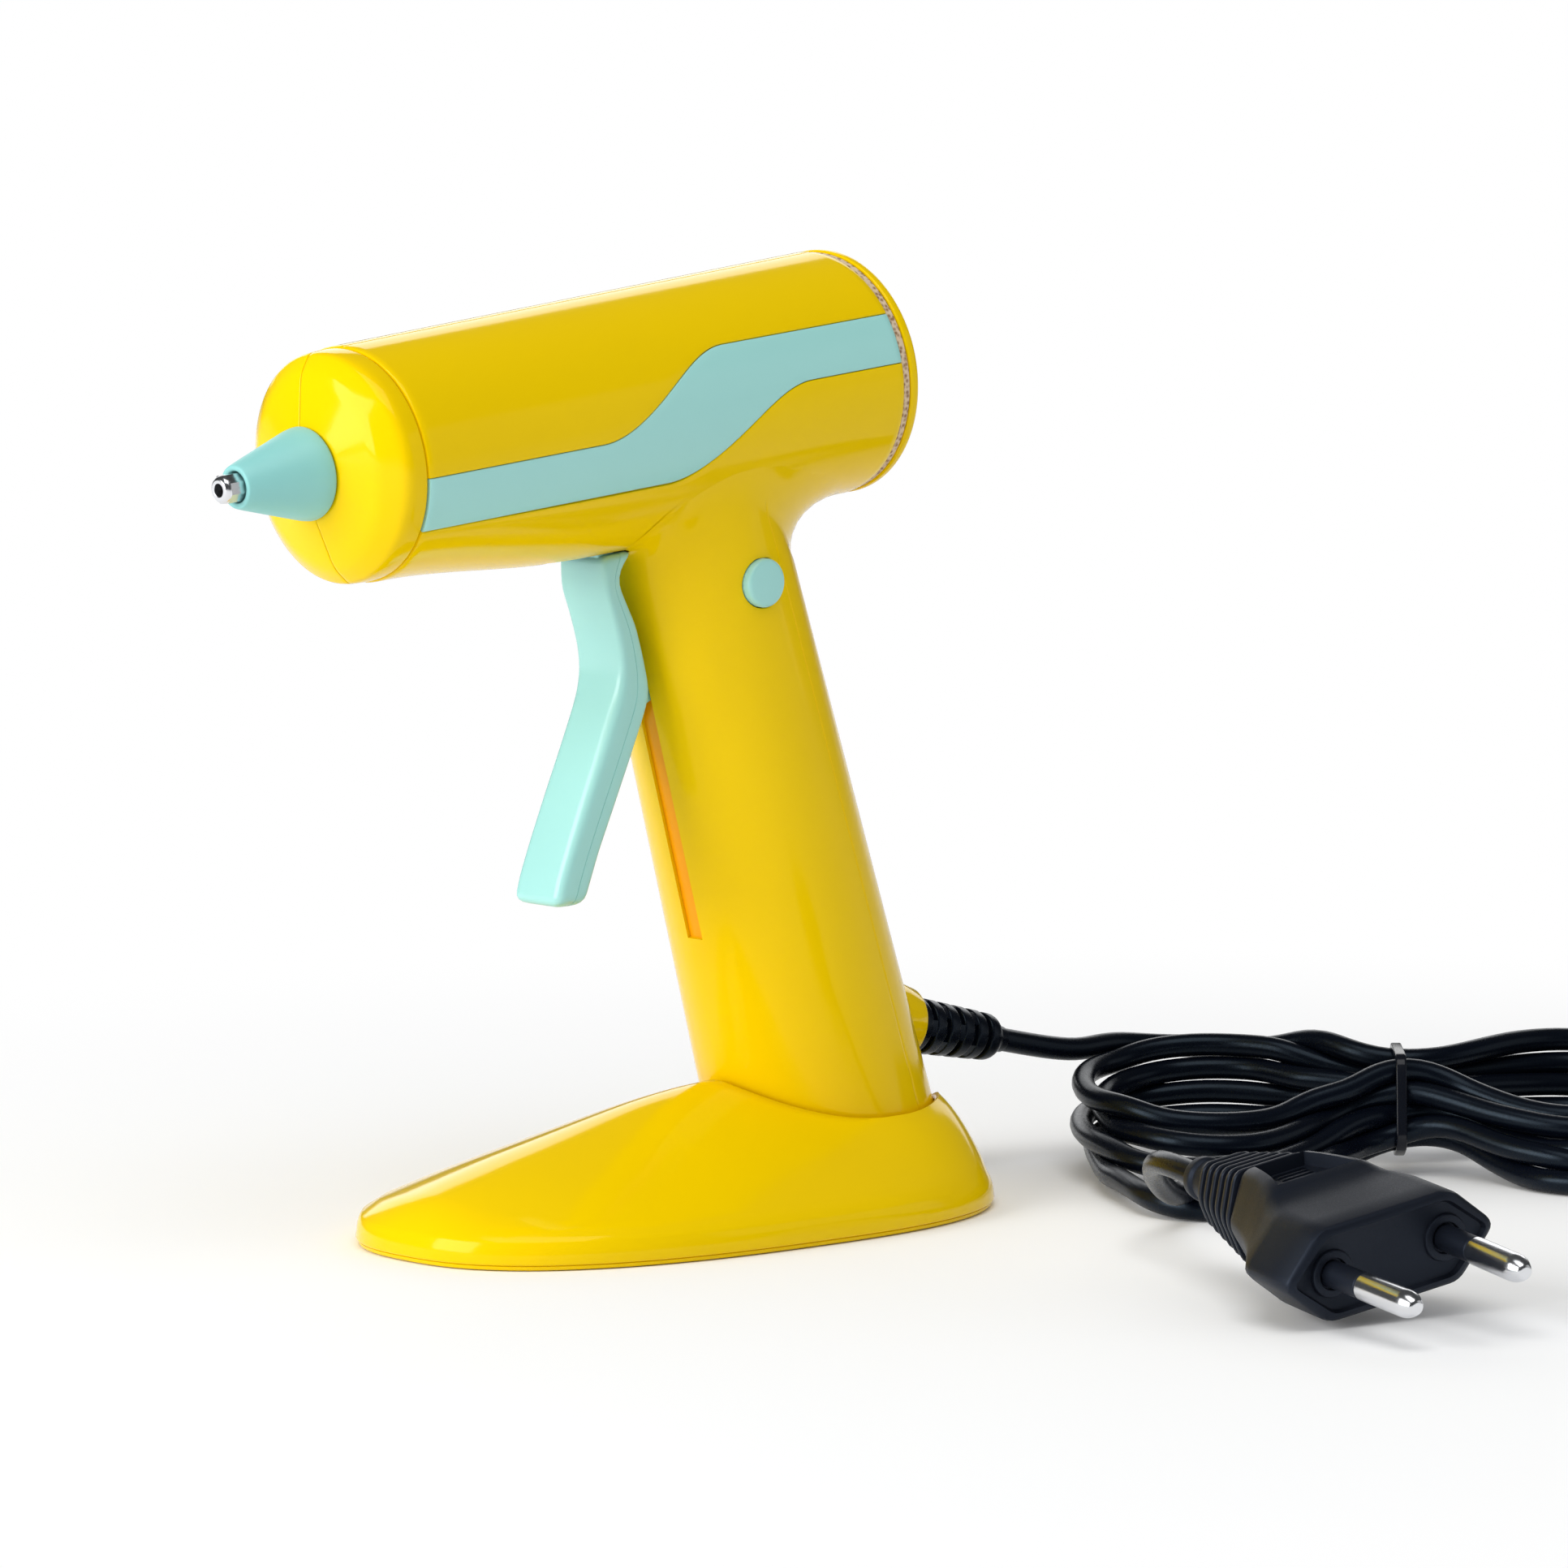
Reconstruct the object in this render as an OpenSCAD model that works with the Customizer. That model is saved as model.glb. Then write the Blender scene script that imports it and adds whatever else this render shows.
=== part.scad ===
// Table-top hot glue gun with its stand, mains lead and two-pin plug.
// Millimetres. The nozzle looks along -X, the stand rests on z = 0.

/* [Barrel] */
// height of the barrel's axis over the table, at the nose joint
barrel_height = 113.7; // [108:0.1:125]
// how far the nose joint lies in front of the origin
barrel_reach = 53.8; // [48:0.1:60]
// how far the nose dips when the gun stands in its socket, in degrees
nose_dip = 5; // [0:0.5:8]
// outside radius of the barrel at the nose joint
barrel_front_r = 16.7; // [15.5:0.1:18]
// outside radius of the barrel at its rear edge
barrel_rear_r = 17.9; // [16.5:0.1:19]
// length of the barrel from the nose joint to the rear edge
barrel_length = 91.3; // [84:0.1:100]
// wall of the moulded housing
shell_wall = 2; // [1.6:0.1:2.6]

/* [Nose cap] */
// outside radius of the nose cap's band
nose_r = 16.4; // [15:0.1:17.5]
// length of the straight band
nose_band = 3.2; // [2:0.1:5]
// length of the whole cap in front of the joint
nose_length = 8; // [6:0.1:11]
// radius at which the rounded shoulder runs into the face
nose_face_r = 12.4; // [10:0.1:14]
// how far the cap's spigot reaches into the barrel
spigot_length = 3.4; // [2.5:0.1:4]

/* [Nozzle] */
// radius of the silicone sleeve at its foot
sleeve_foot_r = 6.4; // [5.5:0.1:7.5]
// radius of the sleeve at its lip
sleeve_lip_r = 2.8; // [2.6:0.05:3.4]
// length of the sleeve in front of the nose cap
sleeve_length = 10.6; // [8:0.1:13]
// thickness of the sleeve
sleeve_wall = 0.9; // [0.6:0.05:1.2]
// outside radius of the bare metal tip
tip_r = 2.05; // [1.8:0.05:2.4]
// how far the metal tip stands out of the sleeve
tip_out = 4; // [2.5:0.1:5]
// radius of the glue hole
tip_hole_r = 0.9; // [0.6:0.05:1.2]

/* [Melting chamber] */
// radius of the glue stick's channel
channel_r = 3.8; // [3.7:0.05:4.2]
// outside radius of the aluminium chamber
chamber_r = 6; // [5.5:0.1:6.5]
// where the chamber starts behind the nose joint
chamber_x = 5; // [4.5:0.1:6.5]
// length of the thick part of the chamber
chamber_length = 18; // [15:0.5:20]
// radius of the neck that carries the nozzle
neck_r = 3.2; // [2.8:0.1:3.5]
// wall of the rear spigot that carries the feed tube
spigot_wall = 1.1; // [0.8:0.05:1.3]
// length of the rear spigot
spigot_reach = 4.5; // [3:0.1:6]
// length, width and thickness of the heating element
heater_size = [13, 8, 2.4];
// wall of the heater's pocket
pocket_wall = 1.2; // [0.8:0.1:1.6]
// thickness of the spring clip round the pocket
clip_thick = 0.5; // [0.4:0.05:0.8]
// width of the spring clip
clip_width = 5; // [3:0.1:8]
// length of the silicone feed tube
feed_tube_length = 9; // [7:0.1:10]
// wall of the feed tube
feed_tube_wall = 1.2; // [0.9:0.05:1.5]

/* [Feed] */
// where the feed carriage rests, behind the nose joint
carriage_x = 42; // [41.5:0.1:43]
// length of the feed carriage
carriage_length = 12; // [10:0.1:14]
// wall of the carriage's tube
carriage_wall = 1.4; // [1.1:0.05:1.6]
// how far the carriage's fins reach from the axis
fin_reach = 9.5; // [8.8:0.1:11]
// thickness of the carriage's fins
fin_thick = 2; // [1.5:0.1:3]
// running clearance of the fins, pins and button
running = 0.1; // [0.05:0.01:0.1]
// how far the drive pin lies under the barrel's axis
drive_drop = 13.2; // [12.5:0.1:13.6]
// radius of the drive pin
drive_pin_r = 1.1; // [0.9:0.05:1.3]
// thickness of the carriage's lug
lug_thick = 3.2; // [2.4:0.1:3.4]

/* [Handle] */
// where the handle's axis crosses the barrel's axis
handle_x = 58; // [54:0.1:62]
// lean of the handle against the barrel's square, in degrees
handle_lean = 12.2; // [9:0.1:15]
// outside radius of the handle where it meets the barrel's axis
handle_top_r = 13.8; // [13:0.05:15]
// how much the handle's radius grows per millimetre of its length
handle_growth = 0.0255; // [0.01:0.0005:0.035]
// width of the slot down the front of the handle
slot_width = 2.6; // [2.4:0.05:3.2]
// where the slot starts, down the handle from the barrel's axis
slot_start = 31; // [28:0.5:32]
// length of the slot
slot_length = 46; // [38:0.5:56]

/* [Trigger] */
// where the pivot lies, down the handle from the barrel's axis
pivot_down = 36.4; // [35:0.1:38]
// how far the pivot lies inside the handle's front
pivot_inset = 3.3; // [2.9:0.1:3.8]
// radius of the pivot pin
pivot_r = 1.2; // [1:0.05:1.5]
// width of the trigger across the finger
trigger_width = 10; // [8:0.1:12]
// how far the rounding takes in the trigger's front edges
trigger_round = 1.4; // [0.6:0.1:2]
// wall of the hollow trigger
trigger_wall = 1.5; // [1.2:0.1:2]
// thickness of the trigger's web inside the slot
web_thick = 2; // [1.6:0.05:2.1]
// radius of the web round the pivot
web_r = 3; // [2.6:0.1:3.2]
// width of the fork that drives the carriage
fork_width = 7.2; // [6.6:0.1:7.4]
// free play of the drive pin in the fork, on each side
fork_play = 0.35; // [0.3:0.05:0.5]
// how far behind the pivot the return spring presses
heel_reach = 9.5; // [8.5:0.1:11]
// length of the return spring at rest
spring_length = 11.5; // [10:0.1:12]
// outside radius of the return spring
spring_r = 2.5; // [2:0.1:2.8]
// radius of the spring's wire
wire_r = 0.35; // [0.25:0.05:0.4]

/* [Side bands] */
// width of the coloured band near the nose
band_front_width = 7.6; // [6:0.1:9]
// width of the band near the rear
band_rear_width = 7; // [5:0.1:9]
// height of the band's middle over the barrel's axis, near the nose
band_front_z = -4.8; // [-6:0.1:-3]
// height of the band's middle near the rear
band_rear_z = 6.1; // [4:0.1:8]
// where the upper edge starts and ends its rise
band_upper_rise = [32.5, 58.5];
// where the lower edge starts and ends its rise
band_lower_rise = [46, 73];
// depth of the inlaid band
band_depth = 0.9; // [0.6:0.05:1.1]
// gap round the inlaid band
band_gap = 0.2; // [0.1:0.05:0.3]

/* [Rear end] */
// thickness of the fibre ring in the rear groove
gasket_thick = 0.9; // [0.6:0.1:1.4]
// how deep the groove lies under the barrel's skin
groove_depth = 0.5; // [0.3:0.1:0.8]
// thickness of the rear cap behind the fibre ring
rear_cap_thick = 2.2; // [1.6:0.1:3]
// how far the rear cap's spigot reaches into the barrel
rear_spigot = 5; // [4:0.1:7]
// where the guide tube starts behind the nose joint
guide_x = 66; // [64:0.5:75]
// wall of the guide tube
guide_wall = 1.6; // [1.2:0.1:2]
// clearance of spigots in the barrel
spigot_gap = 0.1; // [0.05:0.01:0.15]

/* [Power button] */
// how far down the handle the button lies
button_down = 26.3; // [25:0.1:28]
// radius of the button
button_r = 3.65; // [3:0.05:4.2]
// how far the button stands out of the handle
button_out = 1.2; // [1:0.1:1.8]
// how far the button goes in
button_travel = 1; // [0.6:0.1:1]
// length, depth and height of the switch
switch_size = [10, 5, 10];

/* [Screws] */
// radius of the housing screws
screw_r = 1.3; // [1:0.05:1.5]
// radius of the screw heads
screw_head_r = 2.5; // [2.2:0.1:2.7]
// wall of the screw posts
post_wall = 1.2; // [0.9:0.1:1.4]

/* [Stand] */
// length of the stand in front of the origin
stand_front = 45; // [42:0.5:50]
// length of the stand behind the origin
stand_rear = 57.4; // [56:0.1:60]
// half of the stand's width at its middle
stand_half = 32.2; // [30:0.1:36]
// how much wider the stand grows towards its rear
stand_flare = 0.14; // [0.05:0.01:0.2]
// height of the stand's upright edge
edge_height = 4.7; // [4:0.1:6]
// how far the upright edge leans in
edge_lean = 0.8; // [0.3:0.1:1.2]
// height of the stand's crest over its outline's front
crest_front = 9.4; // [8.6:0.1:10.5]
// height of the stand's crest where the handle enters
crest_top = 19.4; // [18:0.1:21]
// thickness of the stand's shell
stand_wall = 2.2; // [1.8:0.1:2.6]
// height of the socket's floor, on which the gun rests
seat_z = 4.6; // [4.2:0.1:5.2]
// clearance of the handle in its socket
socket_gap = 0.3; // [0.25:0.05:0.5]
// wall of the socket
socket_wall = 1.8; // [1.5:0.1:2.2]
// thickness of the bottom plate's rim
plate_rim = 0.8; // [0.6:0.1:1]
// thickness of the bottom plate
plate_thick = 2; // [1.8:0.1:2.4]
// how far the plate's edge lies inside the stand's outline
plate_inset = 0.4; // [0.2:0.1:0.8]

/* [Lead outlet] */
// distance of the outlet's mouth behind the handle's axis
outlet_out = 24.52; // [23.3:0.02:26.3]
// height of the outlet's mouth over the table
outlet_z = 22.8; // [22:0.1:25]
// how far the outlet points down, in degrees
outlet_drop = 12.6; // [8:0.1:16]
// radius of the outlet's mouth
outlet_mouth_r = 4.7; // [4.4:0.1:5.2]
// radius of the outlet's root
outlet_root_r = 6.3; // [5.8:0.1:6.6]
// radius of the strain relief at its root
relief_root_r = 3.75; // [3.4:0.05:4]
// radius of the strain relief at its end
relief_end_r = 3.4; // [3:0.05:3.6]
// length of the strain relief outside the mouth
relief_length = 16.6; // [14:0.1:22]
// radius of the relief's flange inside the handle
relief_flange_r = 4.9; // [4.6:0.1:5.2]
// radius of the cord
cord_r = 1.75; // [1.6:0.05:2]

/* [Lead hank] */
// height of the hank
hank_height = 17.5; // [16:0.5:19]
// radius of the folds at the hank's two ends
hank_lobe_r = 21.5; // [20:0.5:23]
// distance of the folds' middles from the tie, along the hank
hank_lobe_u = 27; // [25:0.5:30]
// how far the folds' middles lie in front of the hank's middle line
hank_front = 22; // [18:0.5:24]
// how far the folds' middles lie behind the hank's middle line
hank_back = 2; // [0:0.5:4]
// half of the hank's width at the tie
hank_waist = 8.5; // [7:0.5:10]
// radius of the tie's wire
tie_wire_r = 0.8; // [0.6:0.1:1.2]

/* [Plug] */
// half of the plug's width
plug_half = 17.6; // [17:0.1:18]
// half of the plug's thickness
plug_half_thick = 6.8; // [6.5:0.1:7]
// length of the plug's body
plug_length = 34; // [32:0.5:37]
// length of the ribbed tail behind the body
plug_tail = 18.5; // [16:0.5:20]
// half of the distance between the pins
pin_half_pitch = 9.3; // [9:0.1:9.5]
// radius of the pins
pin_r = 2; // [1.95:0.01:2.05]
// length of the pins
pin_length = 19; // [18.5:0.1:19.5]
// length of the pins' insulating sleeves
pin_sleeve = 6.8; // [6:0.1:10]

/* [Hidden] */
$fn = 64;
yellow = [0.98, 0.80, 0.02];
mint = [0.60, 0.86, 0.82];
black = [0.08, 0.08, 0.09];
metal = [0.75, 0.76, 0.78];
brown = [0.62, 0.55, 0.42];
hair = 0.02;
big = 400;

// ---- frames ----
module in_gun() {
    translate([-barrel_reach, 0, barrel_height])
        rotate([0, -nose_dip, 0])
            children();
}
module in_handle() {
    translate([handle_x, 0, 0])
        rotate([0, -handle_lean, 0])
            children();
}
module in_outlet() {
    translate([outlet_x, 0, outlet_z])
        rotate([0, outlet_drop, 0])
            children();
}
module along_x(x, len, ra, rb) {
    translate([x, 0, 0])
        rotate([0, 90, 0])
            cylinder(h = len, r1 = ra, r2 = rb);
}
module along_y(x, z, ya, yb, r) {
    translate([x, ya, z])
        rotate([-90, 0, 0])
            cylinder(h = yb - ya, r = r);
}
module block(a, b) {
    translate(a)
        cube(b - a);
}
module side_of(s) {
    translate([-big / 2, s < 0 ? -big : 0, -big / 2])
        cube(big);
}
module above(z) {
    translate([-big / 2, -big / 2, z])
        cube(big);
}

// radius of the handle at a distance down its axis, and a point of the handle in the gun's frame
function handle_r(s) = handle_top_r + handle_growth * s;
function at_handle(u, s) = [handle_x + u * cos(handle_lean) + s * sin(handle_lean),
    u * sin(handle_lean) - s * cos(handle_lean)];
function barrel_r(x) = barrel_front_r + (barrel_rear_r - barrel_front_r) * x / barrel_length;
pivot = at_handle(-(handle_r(pivot_down) - pivot_inset), pivot_down);
button_at = at_handle(0, button_down);
handle_len = 132;
chamber_end = chamber_x + chamber_length;
nose_face = -nose_length;
nose_bore = barrel_front_r - shell_wall - spigot_gap - 1.3;
sleeve_end = nose_face - sleeve_length;
tip_end = sleeve_end - tip_out;
carriage_r = channel_r + carriage_wall;
drive_x = carriage_x + 4;
guide_r = channel_r + guide_wall;
pocket_top = -chamber_r + 1.2;
pocket_low = -chamber_r - heater_size[2] - 0.6;
heater_x = chamber_x + 2.6;
post_r = screw_r + post_wall;
head_seat = 8;
gap = 0.05;
gland_r = relief_root_r - 0.3;
outlet_x = handle_x * cos(nose_dip) - barrel_reach + outlet_out
    + (barrel_height + handle_x * sin(nose_dip) - outlet_z) * tan(nose_dip + handle_lean);
outlet_depth = 9;
outlet_seat = 7.4;
relief_inside = 10.2;
clamp_x = -18;

// places of the housing screws in the gun's frame
screw_spots = [[30, barrel_front_r - 5.3], [barrel_length - 11.3, barrel_rear_r - 5.6], [26, -(barrel_front_r - 4.7)],
    at_handle(handle_r(66) - 8.6, 66), at_handle(-(handle_r(100) - 9.4), 100)];

// ---- housing ----
module skin(inset) {
    in_gun() {
        along_x(inset > 0 ? -1 : 0, barrel_length + (inset > 0 ? 2 : 0), barrel_front_r - inset,
            barrel_rear_r - inset);
        in_handle()
            translate([0, 0, -handle_len])
                cylinder(h = handle_len, r1 = handle_r(handle_len) - inset, r2 = handle_r(0) - inset);
    }
}
module outlet_boss() {
    difference() {
        in_outlet()
            along_x(-outlet_depth, outlet_depth, outlet_root_r, outlet_mouth_r);
        skin(shell_wall);
    }
}
module pivot_posts() {
    for (s = [-1, 1])
        along_y(pivot[0], pivot[1], s < 0 ? -14 : web_thick / 2 + 0.4, s < 0 ? -web_thick / 2 - 0.4 : 14,
            web_r + 0.3);
}
module chamber_ribs() {
    for (x = [chamber_x + 0.6, chamber_end - 1.8])
        difference() {
            along_x(x, 1.4, barrel_front_r - 0.5, barrel_front_r - 0.5);
            along_x(x - 1, 4, chamber_r + gap, chamber_r + gap);
            block([x - 1, -heater_size[1] / 2 - pocket_wall - 1.6, -barrel_front_r],
                [x + 3, heater_size[1] / 2 + pocket_wall + 1.6, 0]);
            for (s = [-1, 1])
                along_x_at(x - 1, 4, s * 8, -7, 1.5);
        }
}
module along_x_at(x, len, y, z, r) {
    translate([0, y, z])
        along_x(x, len, r, r);
}
module fin_rails() {
    for (s = [-1, 1], t = [-1, 1]) {
        za = fin_thick / 2 + running;
        zb = za + 1.6;
        block([feed_tube_end + 0.6, s < 0 ? -barrel_rear_r : fin_reach - 2, t < 0 ? -zb : za],
            [carriage_x + carriage_length + 2, s < 0 ? -(fin_reach - 2) : barrel_rear_r, t < 0 ? -za : zb]);
    }
}
feed_tube_end = chamber_end + 0.2 + feed_tube_length;
module switch_cradle() {
    x = button_at[0] - switch_size[0] / 2;
    z = button_at[1] - switch_size[2] / 2;
    difference() {
        for (zz = [z - 1.4, z + switch_size[2] + 0.1])
            block([x - 0.5, -16, zz], [x + switch_size[0] + 0.5, -3.4, zz + 1.3]);
        // gate for the two wires
        block([button_at[0] - 2.4, -8, z - 3], [button_at[0] + 2.4, -3, z + switch_size[2] + 3]);
    }
}
module spring_shelf() {
    x = pivot[0] + heel_reach;
    z = spring_seat + 0.1;
    block([x - spring_r - 0.8, -spring_r, z], [x + spring_r + 0.8, 16, z + 1.6]);
}
heel_top = pivot[1] + 2.4;
spring_seat = heel_top + spring_length + 0.1;
module clamp_posts() {
    for (s = [-1, 1])
        in_outlet()
            block([clamp_x - 2.6, cord_r + gap, s * 4.4 - 1.9], [clamp_x + 2.6, 16, s * 4.4 + 1.9]);
}
module screw_posts() {
    for (p = screw_spots) {
        along_y(p[0], p[1], -18, 18, post_r);
        along_y(p[0], p[1], head_seat - 2.6, 18, screw_head_r + 0.2 + post_wall);
    }
}
module band_cut(s, extra) {
    // the band's outline pushed sideways through one half
    rotate([90, 0, 0])
        linear_extrude(height = 40, center = true)
            polygon(concat(
                [for (i = [0 : 24]) band_point(i / 24, 1, extra)],
                [for (i = [24 : -1 : 0]) band_point(i / 24, -1, extra)]));
}
function ease(t) = let (c = min(1, max(0, t))) c * c * (3 - 2 * c);
function band_edge(x, k) = let (r = k > 0 ? band_upper_rise : band_lower_rise,
    a = band_front_z + k * band_front_width / 2, b = band_rear_z + k * band_rear_width / 2)
    a + (b - a) * ease((x - r[0]) / (r[1] - r[0]));
function band_x(t, k) = let (r = k > 0 ? band_upper_rise : band_lower_rise)
    t <= 0 ? -1 : t >= 1 ? barrel_length + 1 : r[0] + (r[1] - r[0]) * (t - 1 / 24) * 24 / 22;
function band_point(t, k, extra) = let (x = band_x(t, k)) [x, band_edge(x, k) + k * extra];
module band_ring(out, depth) {
    difference() {
        along_x(0, barrel_length, barrel_front_r + out, barrel_rear_r + out);
        along_x(-1, barrel_length + 2, barrel_front_r - depth, barrel_rear_r - depth);
    }
}
module band(s) {
    color(mint)
        in_gun()
            intersection() {
                band_ring(0, band_depth);
                band_cut(s, 0);
                side_of(s);
                along_x(0.1, barrel_length - 0.2, 30, 30);
            }
}
module band_left() { band(-1); }
module band_right() { band(1); }

module housing(s) {
    color(yellow)
        difference() {
            intersection() {
                union() {
                    difference() {
                        skin(0);
                        intersection() {
                            skin(shell_wall);
                            union() {
                                above(seat_z + shell_wall);
                                in_gun()
                                    along_x(-2, barrel_length + 4, 30, 30);
                            }
                        }
                    }
                    outlet_boss();
                    intersection() {
                        skin(0.4);
                        union() {
                            in_gun() {
                                pivot_posts();
                                chamber_ribs();
                                fin_rails();
                                difference() {
                                    screw_posts();
                                    along_x(-1, barrel_length, carriage_r + 0.6, carriage_r + 0.6);
                                }
                            }
                            if (s < 0)
                                in_gun()
                                    switch_cradle();
                            if (s > 0)
                                clamp_posts();
                        }
                    }
                }
                side_of(s);
                above(seat_z);
            }
            in_gun() {
                // slot down the front of the handle
                in_handle()
                    block([-30, -slot_width / 2, -slot_start - slot_length], [-8.6, slot_width / 2, -slot_start]);
                // opening for the trigger's fork
                block([pivot[0] - 23, -fork_width / 2 - 0.4, -barrel_rear_r - 4],
                    [pivot[0] - 4, fork_width / 2 + 0.4, -barrel_front_r + 4.2]);
                // groove for the band
                intersection() {
                    band_ring(1, band_depth + gap);
                    band_cut(s, band_gap);
                    side_of(s);
                }
                // pivot
                along_y(pivot[0], pivot[1], -8.2, 8.2, pivot_r + 0.05);
                // button
                if (s < 0)
                    along_y(button_at[0], button_at[1], -30, -6, button_r + running);
                // housing screws: through and counterbored on the right, blind on the left
                for (p = screw_spots)
                    if (s < 0)
                        along_y(p[0], p[1], -7.2, 1, screw_r + 0.05);
                    else {
                        along_y(p[0], p[1], -1, 30, screw_r + 0.1);
                        along_y(p[0], p[1], head_seat, 30, screw_head_r + 0.2);
                    }
            }
            // the outlet's hole and its clamp screws
            in_outlet() {
                along_x(-outlet_depth - 6, outlet_depth + 12, gland_r + gap, gland_r + gap);
                along_x(-outlet_depth - 6, outlet_depth + 6 - outlet_seat, relief_flange_r + 0.1, relief_flange_r + 0.1);
                for (t = [-1, 1])
                    along_y(clamp_x, t * 4.4, 0, 7.6, 0.95);
            }
        }
    if (s > 0)
        color(yellow)
            in_gun()
                spring_shelf_held();
}
module spring_shelf_held() {
    x = pivot[0] + heel_reach;
    intersection() {
        spring_shelf();
        in_handle()
            translate([0, 0, -handle_len])
                cylinder(h = handle_len, r1 = handle_r(handle_len) - shell_wall + 0.2,
                    r2 = handle_r(0) - shell_wall + 0.2);
    }
}
module housing_left() { housing(-1); }
module housing_right() { housing(1); }

// ---- nose, rear cap and fibre ring ----
module nose(s) {
    hole = sleeve_foot_r - 0.9;
    color(yellow)
        in_gun()
            intersection() {
                rotate([0, -90, 0])
                    rotate_extrude($fn = 96)
                        polygon(concat(
                            [[nose_bore, -spigot_length], [barrel_front_r - shell_wall - spigot_gap, -spigot_length],
                             [barrel_front_r - shell_wall - spigot_gap, gap], [nose_r, gap]],
                            [for (i = [0 : 8]) let (a = i * 90 / 8)
                                [nose_face_r + (nose_r - nose_face_r) * cos(a),
                                 nose_band + (nose_length - 1.4 - nose_band) * sin(a)]],
                            [[hole, nose_length], [hole, nose_length - 2.2],
                             [nose_face_r - 1, nose_length - 3.6], [nose_bore, nose_band - 1]]));
                side_of(s);
            }
}
module nose_left() { nose(-1); }
module nose_right() { nose(1); }

module gasket_ring() {
    color(brown)
        in_gun()
            difference() {
                along_x(barrel_length, gasket_thick, barrel_rear_r - groove_depth, barrel_rear_r - groove_depth);
                along_x(barrel_length - 1, gasket_thick + 2, barrel_rear_r - 4, barrel_rear_r - 4);
            }
}
module rear_cap() {
    x = barrel_length + gasket_thick;
    inner = barrel_rear_r - shell_wall - spigot_gap - 0.1;
    color(yellow)
        in_gun()
            difference() {
                union() {
                    along_x(x, rear_cap_thick - 0.8, barrel_rear_r, barrel_rear_r);
                    along_x(x + rear_cap_thick - 0.8 - hair, 0.8, barrel_rear_r, barrel_rear_r - 0.8);
                    along_x(x - gasket_thick - 0.1, gasket_thick + 0.2, barrel_rear_r - 4.1, barrel_rear_r - 4.1);
                    difference() {
                        along_x(barrel_length - rear_spigot, rear_spigot, inner, inner);
                        along_x(barrel_length - rear_spigot - 1, rear_spigot - 0.6, inner - 1.6, inner - 1.6);
                    }
                    along_x(guide_x, x - guide_x, guide_r, guide_r);
                }
                along_x(guide_x - 1, x, channel_r, channel_r);
                along_x(x + rear_cap_thick - 1.6, 2, channel_r, channel_r + 1.6);
            }
}

// ---- nozzle and melting chamber ----
module nozzle_sleeve() {
    lip = 1.2;
    color(mint)
        in_gun()
            rotate([0, -90, 0])
                rotate_extrude()
                    polygon([[sleeve_foot_r - 1, nose_length - 2.1], [sleeve_foot_r - 1, nose_length],
                        [sleeve_foot_r - 0.3, nose_length + 0.05], [sleeve_foot_r, nose_length + 0.5],
                        [sleeve_foot_r - 0.1, nose_length + 1.4],
                        [sleeve_lip_r + 0.25, -sleeve_end - lip], [sleeve_lip_r, -sleeve_end - 0.3],
                        [sleeve_lip_r - 0.3, -sleeve_end], [tip_r + gap, -sleeve_end],
                        [tip_r + gap, -sleeve_end - lip - 0.4],
                        [sleeve_foot_r - 1 - sleeve_wall, nose_length + 0.4],
                        [sleeve_foot_r - 1 - sleeve_wall, nose_length - 2.1]]);
}
module nozzle_tip() {
    back = sleeve_foot_r - 1 - sleeve_wall - 0.1;
    color(metal)
        in_gun()
            difference() {
                rotate([0, -90, 0])
                    rotate_extrude()
                        polygon([[0, nose_length - 4.2], [back, nose_length - 4.2], [back, nose_length + 0.2],
                            [tip_r, -sleeve_end - 1.9], [tip_r, -tip_end - 0.5], [tip_r - 0.5, -tip_end],
                            [0, -tip_end]]);
                along_x(tip_end - 1, -tip_end, tip_hole_r, tip_hole_r);
                along_x(nose_face - 1.4, 6, neck_r + gap, neck_r + gap);
            }
}
module melt_chamber() {
    color(metal)
        in_gun()
            difference() {
                union() {
                    along_x(chamber_x, chamber_length, chamber_r, chamber_r);
                    along_x(nose_face - 1.2, chamber_x - nose_face + 1.4, neck_r, neck_r);
                    along_x(chamber_end - hair, spigot_reach, channel_r + spigot_wall, channel_r + spigot_wall);
                    block([heater_x, -heater_size[1] / 2 - pocket_wall, pocket_low - pocket_wall],
                        [heater_x + heater_size[0], heater_size[1] / 2 + pocket_wall, pocket_top]);
                }
                along_x(chamber_x + 3, chamber_length + spigot_reach, channel_r, channel_r);
                along_x(chamber_x - 1, 4 + hair, 1.4, channel_r);
                along_x(nose_face - 2, chamber_x - nose_face + 2, 1.4, 1.4);
                block([heater_x - 1, -heater_size[1] / 2 - gap, pocket_low],
                    [heater_x + heater_size[0] + 1, heater_size[1] / 2 + gap, pocket_low + heater_size[2] + 2 * gap]);
            }
}
module heater() {
    color([0.85, 0.80, 0.72])
        in_gun()
            block([heater_x, -heater_size[1] / 2, pocket_low + gap],
                [heater_x + heater_size[0], heater_size[1] / 2, pocket_low + gap + heater_size[2]]);
}
module heater_clip() {
    x = heater_x + (heater_size[0] - clip_width) / 2;
    w = heater_size[1] / 2 + pocket_wall + gap;
    low = pocket_low - pocket_wall - gap;
    color(metal)
        in_gun()
            difference() {
                block([x, -w - clip_thick, low - clip_thick], [x + clip_width, w + clip_thick, -2.6]);
                block([x - 1, -w, low], [x + clip_width + 1, w, 0]);
                along_x(x - 1, clip_width + 2, chamber_r + gap, chamber_r + gap);
            }
}
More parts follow.
